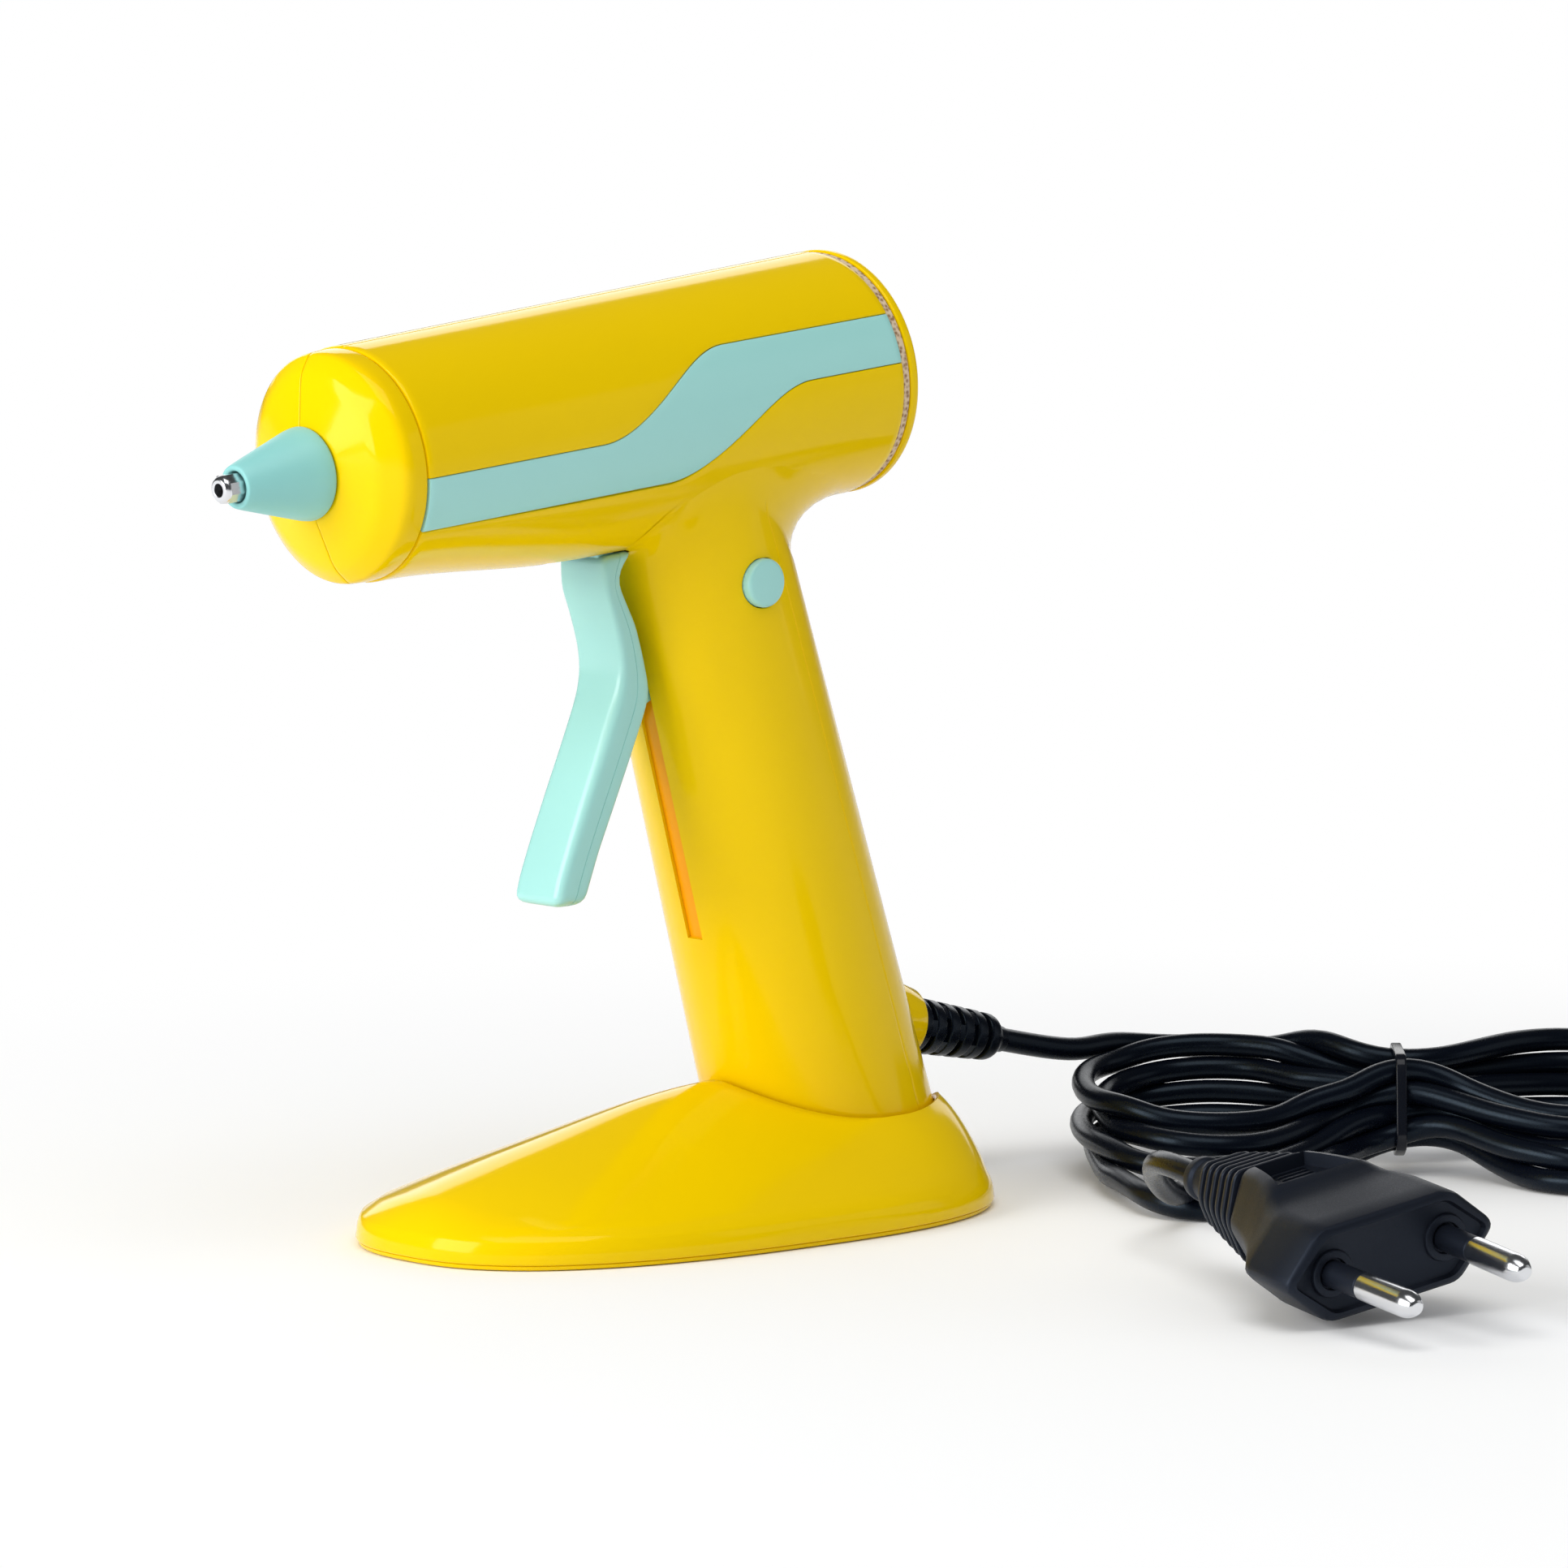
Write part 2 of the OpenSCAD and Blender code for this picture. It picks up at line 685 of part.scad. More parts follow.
module feed_tube() {
    color([0.80, 0.45, 0.30])
        in_gun()
            difference() {
                along_x(chamber_end + 0.2, feed_tube_length, channel_r + spigot_wall + feed_tube_wall,
                    channel_r + spigot_wall + feed_tube_wall);
                along_x(chamber_end, spigot_reach + 0.2, channel_r + spigot_wall + gap,
                    channel_r + spigot_wall + gap);
                along_x(chamber_end, feed_tube_length + 2, channel_r, channel_r);
            }
}
module tube_clamp() {
    r = channel_r + spigot_wall + feed_tube_wall + gap;
    color(metal)
        in_gun()
            difference() {
                along_x(chamber_end + 0.8, 2.6, r + 0.7, r + 0.7);
                along_x(chamber_end, 5, r, r);
            }
}

// ---- feed ----
module feed_carriage() {
    low = -drive_drop - drive_pin_r - 0.6;
    color(black)
        in_gun()
            difference() {
                union() {
                    along_x(carriage_x, carriage_length, carriage_r, carriage_r);
                    for (s = [-1, 1])
                        block([carriage_x + 1, s < 0 ? -fin_reach : channel_r + 0.6, -fin_thick / 2],
                            [carriage_x + carriage_length - 1, s < 0 ? -channel_r - 0.6 : fin_reach,
                             fin_thick / 2]);
                    block([drive_x - 2.2, -lug_thick / 2, low], [drive_x + 1.9, lug_thick / 2, -channel_r - 0.5]);
                }
                along_x(carriage_x - 1, carriage_length + 2, channel_r, channel_r);
                along_y(drive_x, -drive_drop, -5, 5, drive_pin_r);
                block([carriage_x + 4, -1.5, 0], [carriage_x + 9, 1.5, carriage_r + 1]);
            }
}
module grip_clip() {
    color(metal)
        in_gun()
            difference() {
                union() {
                    block([carriage_x + 4.1, -1.4, channel_r + 0.1], [carriage_x + 8.9, 1.4, carriage_r + 0.8]);
                    block([carriage_x + 2.5, -2.4, carriage_r + hair], [carriage_x + 10.5, 2.4, carriage_r + 0.8]);
                }
                along_x(carriage_x, carriage_length, carriage_r - 0.6, carriage_r - 0.6);
            }
}
module drive_pin() {
    color(metal)
        in_gun()
            along_y(drive_x, -drive_drop, -fork_width / 2 - 0.1, fork_width / 2 + 0.1, drive_pin_r);
}

// ---- trigger: points are offsets from its pivot ----
trigger_front = [[-12.9, 18], [-12.7, 13.6], [-11.6, 9.8], [-10.6, 4.6], [-10.6, 1.6], [-11.4, -1.2],
    [-12.9, -4.1], [-15.8, -9.4], [-19.2, -15.4], [-22.4, -21.3], [-25.2, -26.4], [-25.9, -28.4],
    [-25.2, -30]];
trigger_rear = [[-21.9, -30.6], [-20, -28.9], [-17.2, -23.3], [-13.4, -16.8], [-9.7, -10.4], [-6.8, -5.2],
    [-5.5, -2.4], [-5.6, 0], [-6.3, 3.6], [-7.1, 8], [-8.2, 12.2], [-9.9, 15.2], [-8.2, 18]];
module trigger_profile(front_cut, rear_cut) {
    polygon(concat([for (p = trigger_front) p + [front_cut, 0]], [for (p = trigger_rear) p - [rear_cut, 0]]));
}
module flat_y(w) {
    rotate([90, 0, 0])
        linear_extrude(height = w, center = true)
            children();
}
module trigger() {
    q = [drive_x - pivot[0], -drive_drop - pivot[1]];
    slot = 2 * drive_pin_r + 2 * fork_play;
    color(mint)
        in_gun()
            translate([pivot[0], 0, pivot[1]])
                difference() {
                    union() {
                        difference() {
                            union() {
                                flat_y(trigger_width)
                                    trigger_profile(trigger_round, 0);
                                flat_y(trigger_width - 2 * trigger_round)
                                    trigger_profile(0, 0);
                                flat_y(trigger_width - trigger_round * 0.6)
                                    trigger_profile(trigger_round * 0.3, 0);
                            }
                            // hollow back of the lower arm
                            flat_y(trigger_width - 2 * trigger_wall)
                                polygon([[-13.1 + trigger_wall, -2.5], [-23.4 + trigger_wall, -26.5],
                                    [-19, -27.3], [-14, -20], [-4, -2.5]]);
                        }
                        // web through the slot, and heel for the return spring
                        flat_y(web_thick) {
                            circle(r = web_r);
                            polygon([[-10, 3], [-6, 3.2], [0, web_r], [0, -web_r], [-7, -6], [-11, -7]]);
                            polygon([[0, 2], [heel_reach + 2, 1.6], [heel_reach + 2, 0.2], [0, -web_r + 0.6]]);
                        }
                        block([heel_reach - spring_r, -spring_r, 1.2], [heel_reach + spring_r, spring_r, 2.4]);
                        // arm up to the fork
                        flat_y(fork_width)
                            polygon([[-12.6, 17.5], [-8.4, 17.5], [q[0] + 3.2, q[1] - 3.4],
                                [q[0] + 3.4, q[1] + 5.2], [q[0] - 2.4, q[1] + 5.2], [q[0] - 4.2, q[1] - 2]]);
                    }
                    translate([0, -8, 0])
                        rotate([-90, 0, 0])
                            cylinder(h = 16, r = pivot_r + gap);
                    // room for the carriage's lug, and the slots of the fork
                    block([q[0] - 12, -lug_thick / 2 - 0.3, q[1] - drive_pin_r - 1.3],
                        [q[0] + 8, lug_thick / 2 + 0.3, q[1] + 20]);
                    translate([q[0], 0, q[1]])
                        rotate([0, 10, 0]) {
                            rotate([90, 0, 0])
                                cylinder(h = 20, r = slot / 2, center = true);
                            block([-slot / 2, -10, 0], [slot / 2, 10, 20]);
                        }
                }
}
module pivot_pin() {
    color(metal)
        in_gun()
            along_y(pivot[0], pivot[1], -8, 8, pivot_r);
}
module return_spring() {
    // a stack of closed turns stands for the coil
    turns = 6;
    pitch = (spring_length - 2 * wire_r) / turns;
    color(metal)
        in_gun()
            translate([pivot[0] + heel_reach, 0, heel_top + 0.05])
                union() {
                    for (i = [0 : turns])
                        translate([0, 0, wire_r + i * pitch])
                            rotate_extrude($fn = 32)
                                translate([spring_r - wire_r, 0])
                                    circle(r = wire_r, $fn = 16);
                    for (i = [0 : turns - 1])
                        rotate([0, 0, i * 180])
                            translate([spring_r - wire_r, 0, wire_r + i * pitch])
                                cylinder(h = pitch, r = wire_r * 0.8, $fn = 16);
                }
}

// ---- power button and switch ----
module power_button() {
    r = handle_r(button_down);
    flange = r - shell_wall - 1.3;
    color(mint)
        in_gun() {
            along_y(button_at[0], button_at[1], -r - button_out + 0.4, -flange, button_r);
            along_y(button_at[0], button_at[1], -r - button_out, -r - button_out + 0.5, button_r - 0.4);
            along_y(button_at[0], button_at[1], -flange - 0.1, -flange + 1, button_r + 0.9);
            along_y(button_at[0], button_at[1], -flange + 0.9, -flange + 3, 1.5);
        }
}
module switch_body() {
    r = handle_r(button_down);
    face = -(r - shell_wall - 1.3) + 1 + button_travel + 0.2;
    x = button_at[0] - switch_size[0] / 2;
    z = button_at[1] - switch_size[2] / 2;
    color(black)
        in_gun()
            difference() {
                block([x, face, z], [x + switch_size[0], face + switch_size[1], z + switch_size[2]]);
                along_y(button_at[0], button_at[1], face - 1, face + 3.2, 1.5 + running);
            }
}

// ---- wires inside: routes in the gun's frame ----
function cross3(a, b) = [a[1] * b[2] - a[2] * b[1], a[2] * b[0] - a[0] * b[2], a[0] * b[1] - a[1] * b[0]];
function unit(a) = a / norm(a);
function heading(p, i) = unit(p[min(i + 1, len(p) - 1)] - p[max(i - 1, 0)]);
function ring_at(c, d, r, n, up) = let (e = unit(cross3(up, d)), f = cross3(d, e))
    [for (k = [0 : n - 1]) c + r * (cos(360 * k / n) * e + sin(360 * k / n) * f)];
module tube(path, r, n, up) {
    m = len(path);
    points = [for (i = [0 : m - 1]) each ring_at(path[i], heading(path, i), r, n, up)];
    faces = concat(
        [[for (k = [0 : n - 1]) k]],
        [for (i = [0 : m - 2], k = [0 : n - 1]) let (a = i * n + k, b = i * n + (k + 1) % n) [a, a + n, b + n]],
        [for (i = [0 : m - 2], k = [0 : n - 1]) let (a = i * n + k, b = i * n + (k + 1) % n) [a, b + n, b]],
        [[for (k = [n - 1 : -1 : 0]) (m - 1) * n + k]]);
    polyhedron(points = points, faces = faces, convexity = 8);
}
wire_size = 0.75;
heater_end = heater_x + heater_size[0] + wire_size;
// a point of the outlet's frame in the gun's frame
function from_outlet(u, y, w) = let (x = outlet_x + barrel_reach + u * cos(outlet_drop) + w * sin(outlet_drop),
    z = outlet_z - barrel_height - u * sin(outlet_drop) + w * cos(outlet_drop))
    [x * cos(nose_dip) + z * sin(nose_dip), y, z * cos(nose_dip) - x * sin(nose_dip)];
route_switch = [from_outlet(clamp_x - 4.3, -0.9, 0.1), from_outlet(clamp_x - 8, -2.6, 0.5),
    from_outlet(clamp_x - 11.9, -5, 4.5), from_outlet(clamp_x - 16.2, -6.3, 11.5), [72, -6.5, -64],
    [70.6, -6.5, -50], [68.5, -6.5, -40], [65.5, -6.5, -34],
    [button_at[0] + 1, -6.5, button_at[1] - switch_size[2] / 2 - 0.1]];
route_link = [[button_at[0] - 1, -6.5, button_at[1] + switch_size[2] / 2 + 0.1], [61.6, -7.2, -15], [59, -7.8, -10],
    [54, -8, -7.6], [46, -8, -7], [34, -8, -7], [26, -8, -7], [23.4, -6.4, -7.2], [21.9, -4.4, -7.6],
    [heater_end, -2.4, pocket_low + gap + heater_size[2] / 2]];
route_return = [from_outlet(clamp_x - 4.3, 0.9, 0.1), from_outlet(clamp_x - 8, 2.6, 0.5),
    from_outlet(clamp_x - 11.9, 5, 4.5), from_outlet(clamp_x - 16.2, 6.5, 11.5), [72, 7, -64],
    [70.8, 7.2, -50], [70.4, 7.4, -34], [69.6, 7.4, -21], [66, 7.8, -14], [60.5, 8, -9.4], [54, 8, -7.4],
    [46, 8, -7], [34, 8, -7], [26, 8, -7], [23.4, 6.4, -7.2], [21.9, 4.4, -7.6],
    [heater_end, 2.4, pocket_low + gap + heater_size[2] / 2]];
module wire_switch() {
    color([0.45, 0.25, 0.12])
        in_gun()
            tube(route_switch, wire_size, 8, [0, 1, 0.1]);
}
module wire_link() {
    color([0.45, 0.25, 0.12])
        in_gun()
            tube(route_link, wire_size, 8, [0, 0.1, 1]);
}
module wire_return() {
    color([0.10, 0.25, 0.65])
        in_gun()
            tube(route_return, wire_size, 8, [0.1, 1, 0.1]);
}

// ---- lead outlet ----
module strain_relief() {
    color(black)
        in_outlet() {
            step = (relief_length - 3) / 4;
            along_x(-relief_inside, relief_inside, gland_r, gland_r);
            along_x(-outlet_seat - 1.8, 1.75, relief_flange_r, relief_flange_r);
            along_x(-hair, relief_length - 1, relief_root_r - 0.9, relief_end_r - 0.9);
            for (i = [0 : 3]) {
                ra = relief_root_r + (relief_end_r - relief_root_r) * i / 4;
                along_x(0.1 + i * step, step - 1.2, ra, ra - 0.05);
            }
            along_x(relief_length - 3.1, 2.6, relief_end_r, relief_end_r);
            along_x(relief_length - 0.6, 0.6, relief_end_r, relief_end_r - 0.5);
        }
}
module cord_inner() {
    color(black)
        in_outlet()
            along_x(clamp_x - 4, 4 - clamp_x - relief_inside - gap, cord_r, cord_r);
}
module cord_clamp() {
    color([0.9, 0.9, 0.88])
        in_outlet()
            difference() {
                block([clamp_x - 2, -cord_r - 2.6, -6.2], [clamp_x + 2, -cord_r - gap, 6.2]);
                for (t = [-1, 1])
                    along_y(clamp_x, t * 4.4, -10, 0, 0.95);
            }
}
module clamp_screws() {
    color(metal)
        in_outlet()
            for (t = [-1, 1]) {
                along_y(clamp_x, t * 4.4, -cord_r - 3.6, -cord_r - 2.6, 1.6);
                along_y(clamp_x, t * 4.4, -cord_r - 2.7, 7.4, 0.9);
            }
}
module housing_screws() {
    color(metal)
        in_gun()
            for (p = screw_spots) {
                along_y(p[0], p[1], head_seat + gap, head_seat + 1.6, screw_head_r);
                along_y(p[0], p[1], -7, head_seat + 0.1, screw_r);
            }
}

// ---- stand ----
function signed_pow(v, e) = sign(v) * pow(abs(v), e);
stand_mid = (stand_rear - stand_front) / 2;
stand_len = (stand_rear + stand_front) / 2;
function stand_edge(a, inset) = let (bx = signed_pow(cos(a), 0.78), by = signed_pow(sin(a), 0.78))
    [stand_mid + (stand_len - inset) * bx, (stand_half - inset) * by * (1 + stand_flare * bx)];
function crest(x) = lookup(x, [[-38, crest_front], [-24, crest_top - 6.4], [-9, crest_top - 3.4],
    [2, crest_top - 1.2], [12, crest_top], [30, crest_top], [45, crest_top - 2.4]]);
function spine(a) = let (bx = signed_pow(cos(a), 0.78)) -38 + (stand_rear - 12.4 + 38) * (bx + 1) / 2;
function dome_point(a, t, inset, drop) = let (e = stand_edge(a, inset + edge_lean), s = spine(a),
    bx = signed_pow(cos(a), 0.78), p = 1.35 + 4 * pow(max(0, bx), 4), f = 1 - pow(1 - t, p),
    low = edge_height - drop, high = crest(s) - drop)
    [e[0] + (s - e[0]) * t, e[1] * (1 - t), low + (high - low) * f];
dome_steps = [0, 0.08, 0.18, 0.3, 0.44, 0.6, 0.78, 0.97];
module dome(inset, drop, floor_z) {
    n = 64;
    m = len(dome_steps) + 1;
    points = concat(
        [for (i = [0 : n - 1]) let (e = stand_edge(360 * i / n, inset)) [e[0], e[1], floor_z]],
        [for (t = dome_steps, i = [0 : n - 1]) dome_point(360 * i / n, t, inset, drop)]);
    top = (m - 1) * n;
    faces = concat(
        [[for (i = [0 : n - 1]) i]],
        [for (j = [0 : m - 2], i = [0 : n - 1]) let (a = j * n + i, b = j * n + (i + 1) % n) [a, a + n, b + n]],
        [for (j = [0 : m - 2], i = [0 : n - 1]) let (a = j * n + i, b = j * n + (i + 1) % n) [a, b + n, b]],
        [[top, top + n - 1, top + 1]],
        [for (i = [1 : n / 2 - 2]) [top + i, top + n - i, top + n - i - 1]],
        [for (i = [1 : n / 2 - 2]) [top + i, top + n - i - 1, top + i + 1]],
        [[top + n / 2 - 1, top + n / 2 + 1, top + n / 2]]);
    polyhedron(points = points, faces = faces, convexity = 10);
}
module socket(extra) {
    in_gun()
        in_handle()
            translate([0, 0, -handle_len - 20])
                cylinder(h = 70, r = handle_r(116) + socket_gap + extra);
}
stand_spots = [[-26, 0], [4, -20], [4, 20]];
module stand_shell() {
    color(yellow)
        difference() {
            union() {
                difference() {
                    dome(0, 0, plate_rim);
                    dome(stand_wall, stand_wall, plate_rim - 1);
                }
                intersection() {
                    dome(hair, hair, plate_thick + 0.1);
                    union() {
                        socket(socket_wall);
                        for (p = stand_spots)
                            translate([p[0], p[1], 0])
                                cylinder(h = 30, r = 3);
                    }
                }
            }
            intersection() {
                socket(0);
                above(seat_z);
            }
            for (p = stand_spots)
                translate([p[0], p[1], 0])
                    cylinder(h = 7.6, r = screw_r + gap);
        }
}
module stand_plate() {
    color([0.95, 0.78, 0.05])
        difference() {
            union() {
                linear_extrude(height = plate_rim - 0.1)
                    polygon([for (i = [0 : 71]) stand_edge(5 * i, plate_inset)]);
                linear_extrude(height = plate_thick)
                    polygon([for (i = [0 : 71]) stand_edge(5 * i, stand_wall + edge_lean + gap)]);
            }
            for (p = stand_spots)
                translate([p[0], p[1], -1]) {
                    cylinder(h = 2.1, r = screw_head_r + 0.2);
                    cylinder(h = 6, r = screw_r + 0.1);
                }
        }
}
module stand_screws() {
    color(metal)
        for (p = stand_spots)
            translate([p[0], p[1], 0.2]) {
                cylinder(h = 0.85, r = screw_head_r);
                cylinder(h = 7.2, r = screw_r);
            }
}

// ---- free lead: route points, hank and plug ----
hank_at = [117, -42];
plug_at = [20.4, -129.6, 9.4];
plug_heading = -102.8;
plug_pitch = 5;
plug_roll = 10.5;
hank_turn = -43.6;
tail_exit = plug_at_tail();
lead_route = [outlet_point(relief_length + 0.05), outlet_point(relief_length + 5), [83.4, -0.8, 17], [87.4, -2.4, 16]];
tail_route = [tail_exit, tail_exit + 5 * plug_back(), [36, -70, 14], [39.5, -65.5, 11.8], [45, -61, 8.6],
    [51.5, -57.4, 5.4], [58, -54.8, 3.2], [64.5, -52.7, 2.2]];
function outlet_point(d) = [outlet_x + d * cos(outlet_drop), 0, outlet_z - d * sin(outlet_drop)];
function plug_back() = [-cos(plug_heading) * cos(plug_pitch), -sin(plug_heading) * cos(plug_pitch),
    sin(plug_pitch)];
function plug_at_tail() = plug_at + (plug_length + plug_tail + 0.05) * plug_back();
module cord_lead() {
    color(black)
        tube(lead_route, cord_r, 8, [0, 0, 1]);
}
module cord_tail() {
    color(black)
        tube(tail_route, cord_r, 8, [0, 0, 1]);
}
module in_hank() {
    translate([hank_at[0], hank_at[1], 0])
        rotate([0, 0, hank_turn])
            children();
}
function arc(c, r, from, to, n) = [for (i = [0 : n]) let (a = from + (to - from) * i / n)
    c + r * [cos(a), sin(a)]];
module cord_hank() {
    waist = [for (s = [-1, 1]) [s * 4, hank_waist]];
    color(black)
        in_hank()
            linear_extrude(height = hank_height)
                polygon(concat([waist[0]],
                    arc([-hank_lobe_u, hank_back], hank_lobe_r, 70, 180, 12),
                    arc([-hank_lobe_u, -hank_front], hank_lobe_r, 180, 290, 12),
                    [-waist[1], -waist[0]],
                    arc([hank_lobe_u, -hank_front + 8], hank_lobe_r, 250, 360, 12),
                    arc([hank_lobe_u, hank_back], hank_lobe_r, 0, 110, 12),
                    [waist[1]]));
}
module cord_tie() {
    color([0.12, 0.12, 0.13])
        in_hank()
            difference() {
                translate([-1.3, -hank_waist - tie_wire_r - 0.05, 0])
                    cube([2.6, 2 * (hank_waist + tie_wire_r) + 0.1, hank_height + tie_wire_r + 0.05]);
                translate([-2, -hank_waist - 0.05, -1])
                    cube([4, 2 * hank_waist + 0.1, hank_height + 1.05]);
            }
}
module in_plug() {
    // local X is the pins' direction, Y across the plug, Z its thickness
    translate(plug_at)
        rotate([0, 0, plug_heading])
            rotate([0, plug_pitch, 0])
                rotate([plug_roll, 0, 0])
                    children();
}
plug_section = [[1, 0], [0.62, 1], [-0.62, 1], [-1, 0], [-0.62, -1], [0.62, -1]];
plug_plan = [[0, 1], [-0.34, 1], [-0.74, 0.52], [-1, 0.36], [-1, -0.36], [-0.74, -0.52], [-0.34, -1], [0, -1]];
module scale_points(points, a, b) {
    polygon([for (p = points) [p[0] * a, p[1] * b]]);
}
module plug_body() {
    n = 6;
    step = (plug_tail - 1.6) / n;
    color(black)
        in_plug()
            difference() {
                union() {
                    intersection() {
                        translate([-plug_length - 1, 0, 0])
                            rotate([90, 0, 90])
                                linear_extrude(height = plug_length + 1)
                                    scale_points(plug_section, plug_half, plug_half_thick);
                        translate([0, 0, -plug_half_thick - 1])
                            linear_extrude(height = 2 * plug_half_thick + 2)
                                scale_points(plug_plan, plug_length, plug_half);
                    }
                    along_x(-plug_length - plug_tail, plug_tail + 1, cord_r + 0.9, cord_r + 2.4);
                    for (i = [0 : n - 1])
                        along_x(-plug_length - (i + 1) * step, step * 0.6, cord_r + 3.2 - (i + 1) * 0.35,
                            cord_r + 3.2 - i * 0.35);
                }
                for (s = [-1, 1])
                    translate([0, s * pin_half_pitch, 0])
                        rotate([0, 0, -s * 1.2])
                            along_x(-6, 8, pin_r + 0.02, pin_r + 0.02);
            }
}
module plug_sleeves() {
    color(black)
        in_plug()
            for (s = [-1, 1])
                translate([0, s * pin_half_pitch, 0])
                    rotate([0, 0, -s * 1.2])
                        difference() {
                            along_x(-5.8, pin_sleeve + 5.8, pin_r - 0.06, pin_r - 0.06);
                            along_x(-7, pin_sleeve + 9, pin_r - 0.5, pin_r - 0.5);
                        }
}
module plug_pins() {
    color(metal)
        in_plug()
            for (s = [-1, 1])
                translate([0, s * pin_half_pitch, 0])
                    rotate([0, 0, -s * 1.2]) {
                        rotate([0, 90, 0])
                            rotate_extrude()
                                polygon(concat([[0, -5.8], [pin_r - 0.52, -5.8], [pin_r - 0.52, pin_sleeve + hair],
                                    [pin_r, pin_sleeve + hair]],
                                    [for (i = [0 : 8]) [0, pin_length - pin_r] + pin_r * [cos(i * 11.25), sin(i * 11.25)]]));
                    }
}

housing_left();
housing_right();
nose_left();
nose_right();
rear_cap();
gasket_ring();
nozzle_sleeve();
nozzle_tip();
melt_chamber();
heater();
heater_clip();
feed_tube();
tube_clamp();
feed_carriage();
grip_clip();
drive_pin();
trigger();
pivot_pin();
return_spring();
power_button();
switch_body();
band_left();
band_right();
wire_switch();
wire_link();
wire_return();
cord_inner();
cord_clamp();
clamp_screws();
housing_screws();
strain_relief();
stand_shell();
stand_plate();
stand_screws();
cord_lead();
cord_hank();
cord_tail();
cord_tie();
plug_body();
plug_sleeves();
plug_pins();
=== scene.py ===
from math import acos, asin, cos, hypot, pi, radians, sin, sqrt
import bmesh
import bpy
import numpy as np
from mathutils import Matrix, Vector


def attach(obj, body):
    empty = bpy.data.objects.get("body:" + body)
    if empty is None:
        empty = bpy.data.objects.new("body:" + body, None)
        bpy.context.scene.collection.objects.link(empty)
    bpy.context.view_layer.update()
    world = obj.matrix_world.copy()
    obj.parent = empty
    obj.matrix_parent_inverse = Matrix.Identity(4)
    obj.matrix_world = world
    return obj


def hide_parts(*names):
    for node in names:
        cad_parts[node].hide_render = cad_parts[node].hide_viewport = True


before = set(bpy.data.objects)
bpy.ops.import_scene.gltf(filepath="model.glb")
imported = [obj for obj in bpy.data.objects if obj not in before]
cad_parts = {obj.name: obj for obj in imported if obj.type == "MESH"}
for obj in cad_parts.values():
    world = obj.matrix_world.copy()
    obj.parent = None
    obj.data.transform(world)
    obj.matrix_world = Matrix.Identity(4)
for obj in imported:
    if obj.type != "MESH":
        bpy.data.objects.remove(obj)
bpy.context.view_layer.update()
scene = bpy.context.scene
scene.view_settings.view_transform = "Standard"

# ---- camera ----
# The view looks down on the tool's left side from the front, with a long lens.
back = Vector((-0.6841, -0.7188, 0.1237)).normalized()
right = Vector((0.7244, -0.6894, 0.0)).normalized()
up = back.cross(right).normalized()
eye = bpy.data.objects.new("eye", bpy.data.cameras.new("eye"))
scene.collection.objects.link(eye)
eye.matrix_world = Matrix.Translation((-0.868386, -0.943531, 0.224091)) @ Matrix(
    (right, up, back)).transposed().to_4x4()
eye.data.sensor_width = 36
eye.data.lens = 205.84
eye.data.clip_end = 20
scene.camera = eye

# ---- light and floor ----
# A bright, even studio: a pale sky, broad lamps behind, overhead and at the left, and a weak
# one at the right.
sky = bpy.data.worlds.new("sky")
sky.use_nodes = True
scene.world = sky
nodes, links = sky.node_tree.nodes, sky.node_tree.links
nodes.clear()
rays = nodes.new("ShaderNodeLightPath")


def value(node, name, number):
    node.inputs[name].default_value = number


def glow(color, strength):
    node = nodes.new("ShaderNodeBackground")
    value(node, "Color", (*color, 1))
    value(node, "Strength", strength)
    return node


plain = glow((1, 1, 1), 1)
room = glow((0.97, 0.985, 1), 0.42)
mirror = glow((0.95, 0.98, 1), 0.06)
seen = nodes.new("ShaderNodeMixShader")
either = nodes.new("ShaderNodeMixShader")
world_out = nodes.new("ShaderNodeOutputWorld")
links.new(rays.outputs["Is Glossy Ray"], seen.inputs[0])
links.new(room.outputs[0], seen.inputs[1])
links.new(mirror.outputs[0], seen.inputs[2])
links.new(rays.outputs["Is Camera Ray"], either.inputs[0])
links.new(seen.outputs[0], either.inputs[1])
links.new(plain.outputs[0], either.inputs[2])
links.new(either.outputs[0], world_out.inputs[0])


def lamp(name, place, aim, size, power):
    light = bpy.data.lights.new(name, "AREA")
    light.shape = "RECTANGLE"
    light.size, light.size_y = size
    light.energy = power
    obj = bpy.data.objects.new(name, light)
    obj.location = place
    obj.rotation_euler = (Vector(aim) - Vector(place)).to_track_quat("-Z", "Y").to_euler()
    scene.collection.objects.link(obj)


lamp("lamp_back", (1.1, 1.1, 0.62), (0, 0, 0.1), (1.7, 0.8), 7)
lamp("lamp_over", (-0.35, -0.4, 1.25), (0, 0, 0.05), (1.0, 0.9), 6)
lamp("lamp_left", (-1.3, 0.25, 0.5), (0, 0, 0.08), (0.9, 0.9), 15)
lamp("lamp_right", (0.9, -1.0, 0.4), (0, 0, 0.1), (1.0, 0.75), 1)


def painted(name):
    mat = bpy.data.materials.new(name)
    mat.use_nodes = True
    shader = mat.node_tree.nodes["Principled BSDF"]
    return mat, mat.node_tree.nodes, mat.node_tree.links, shader


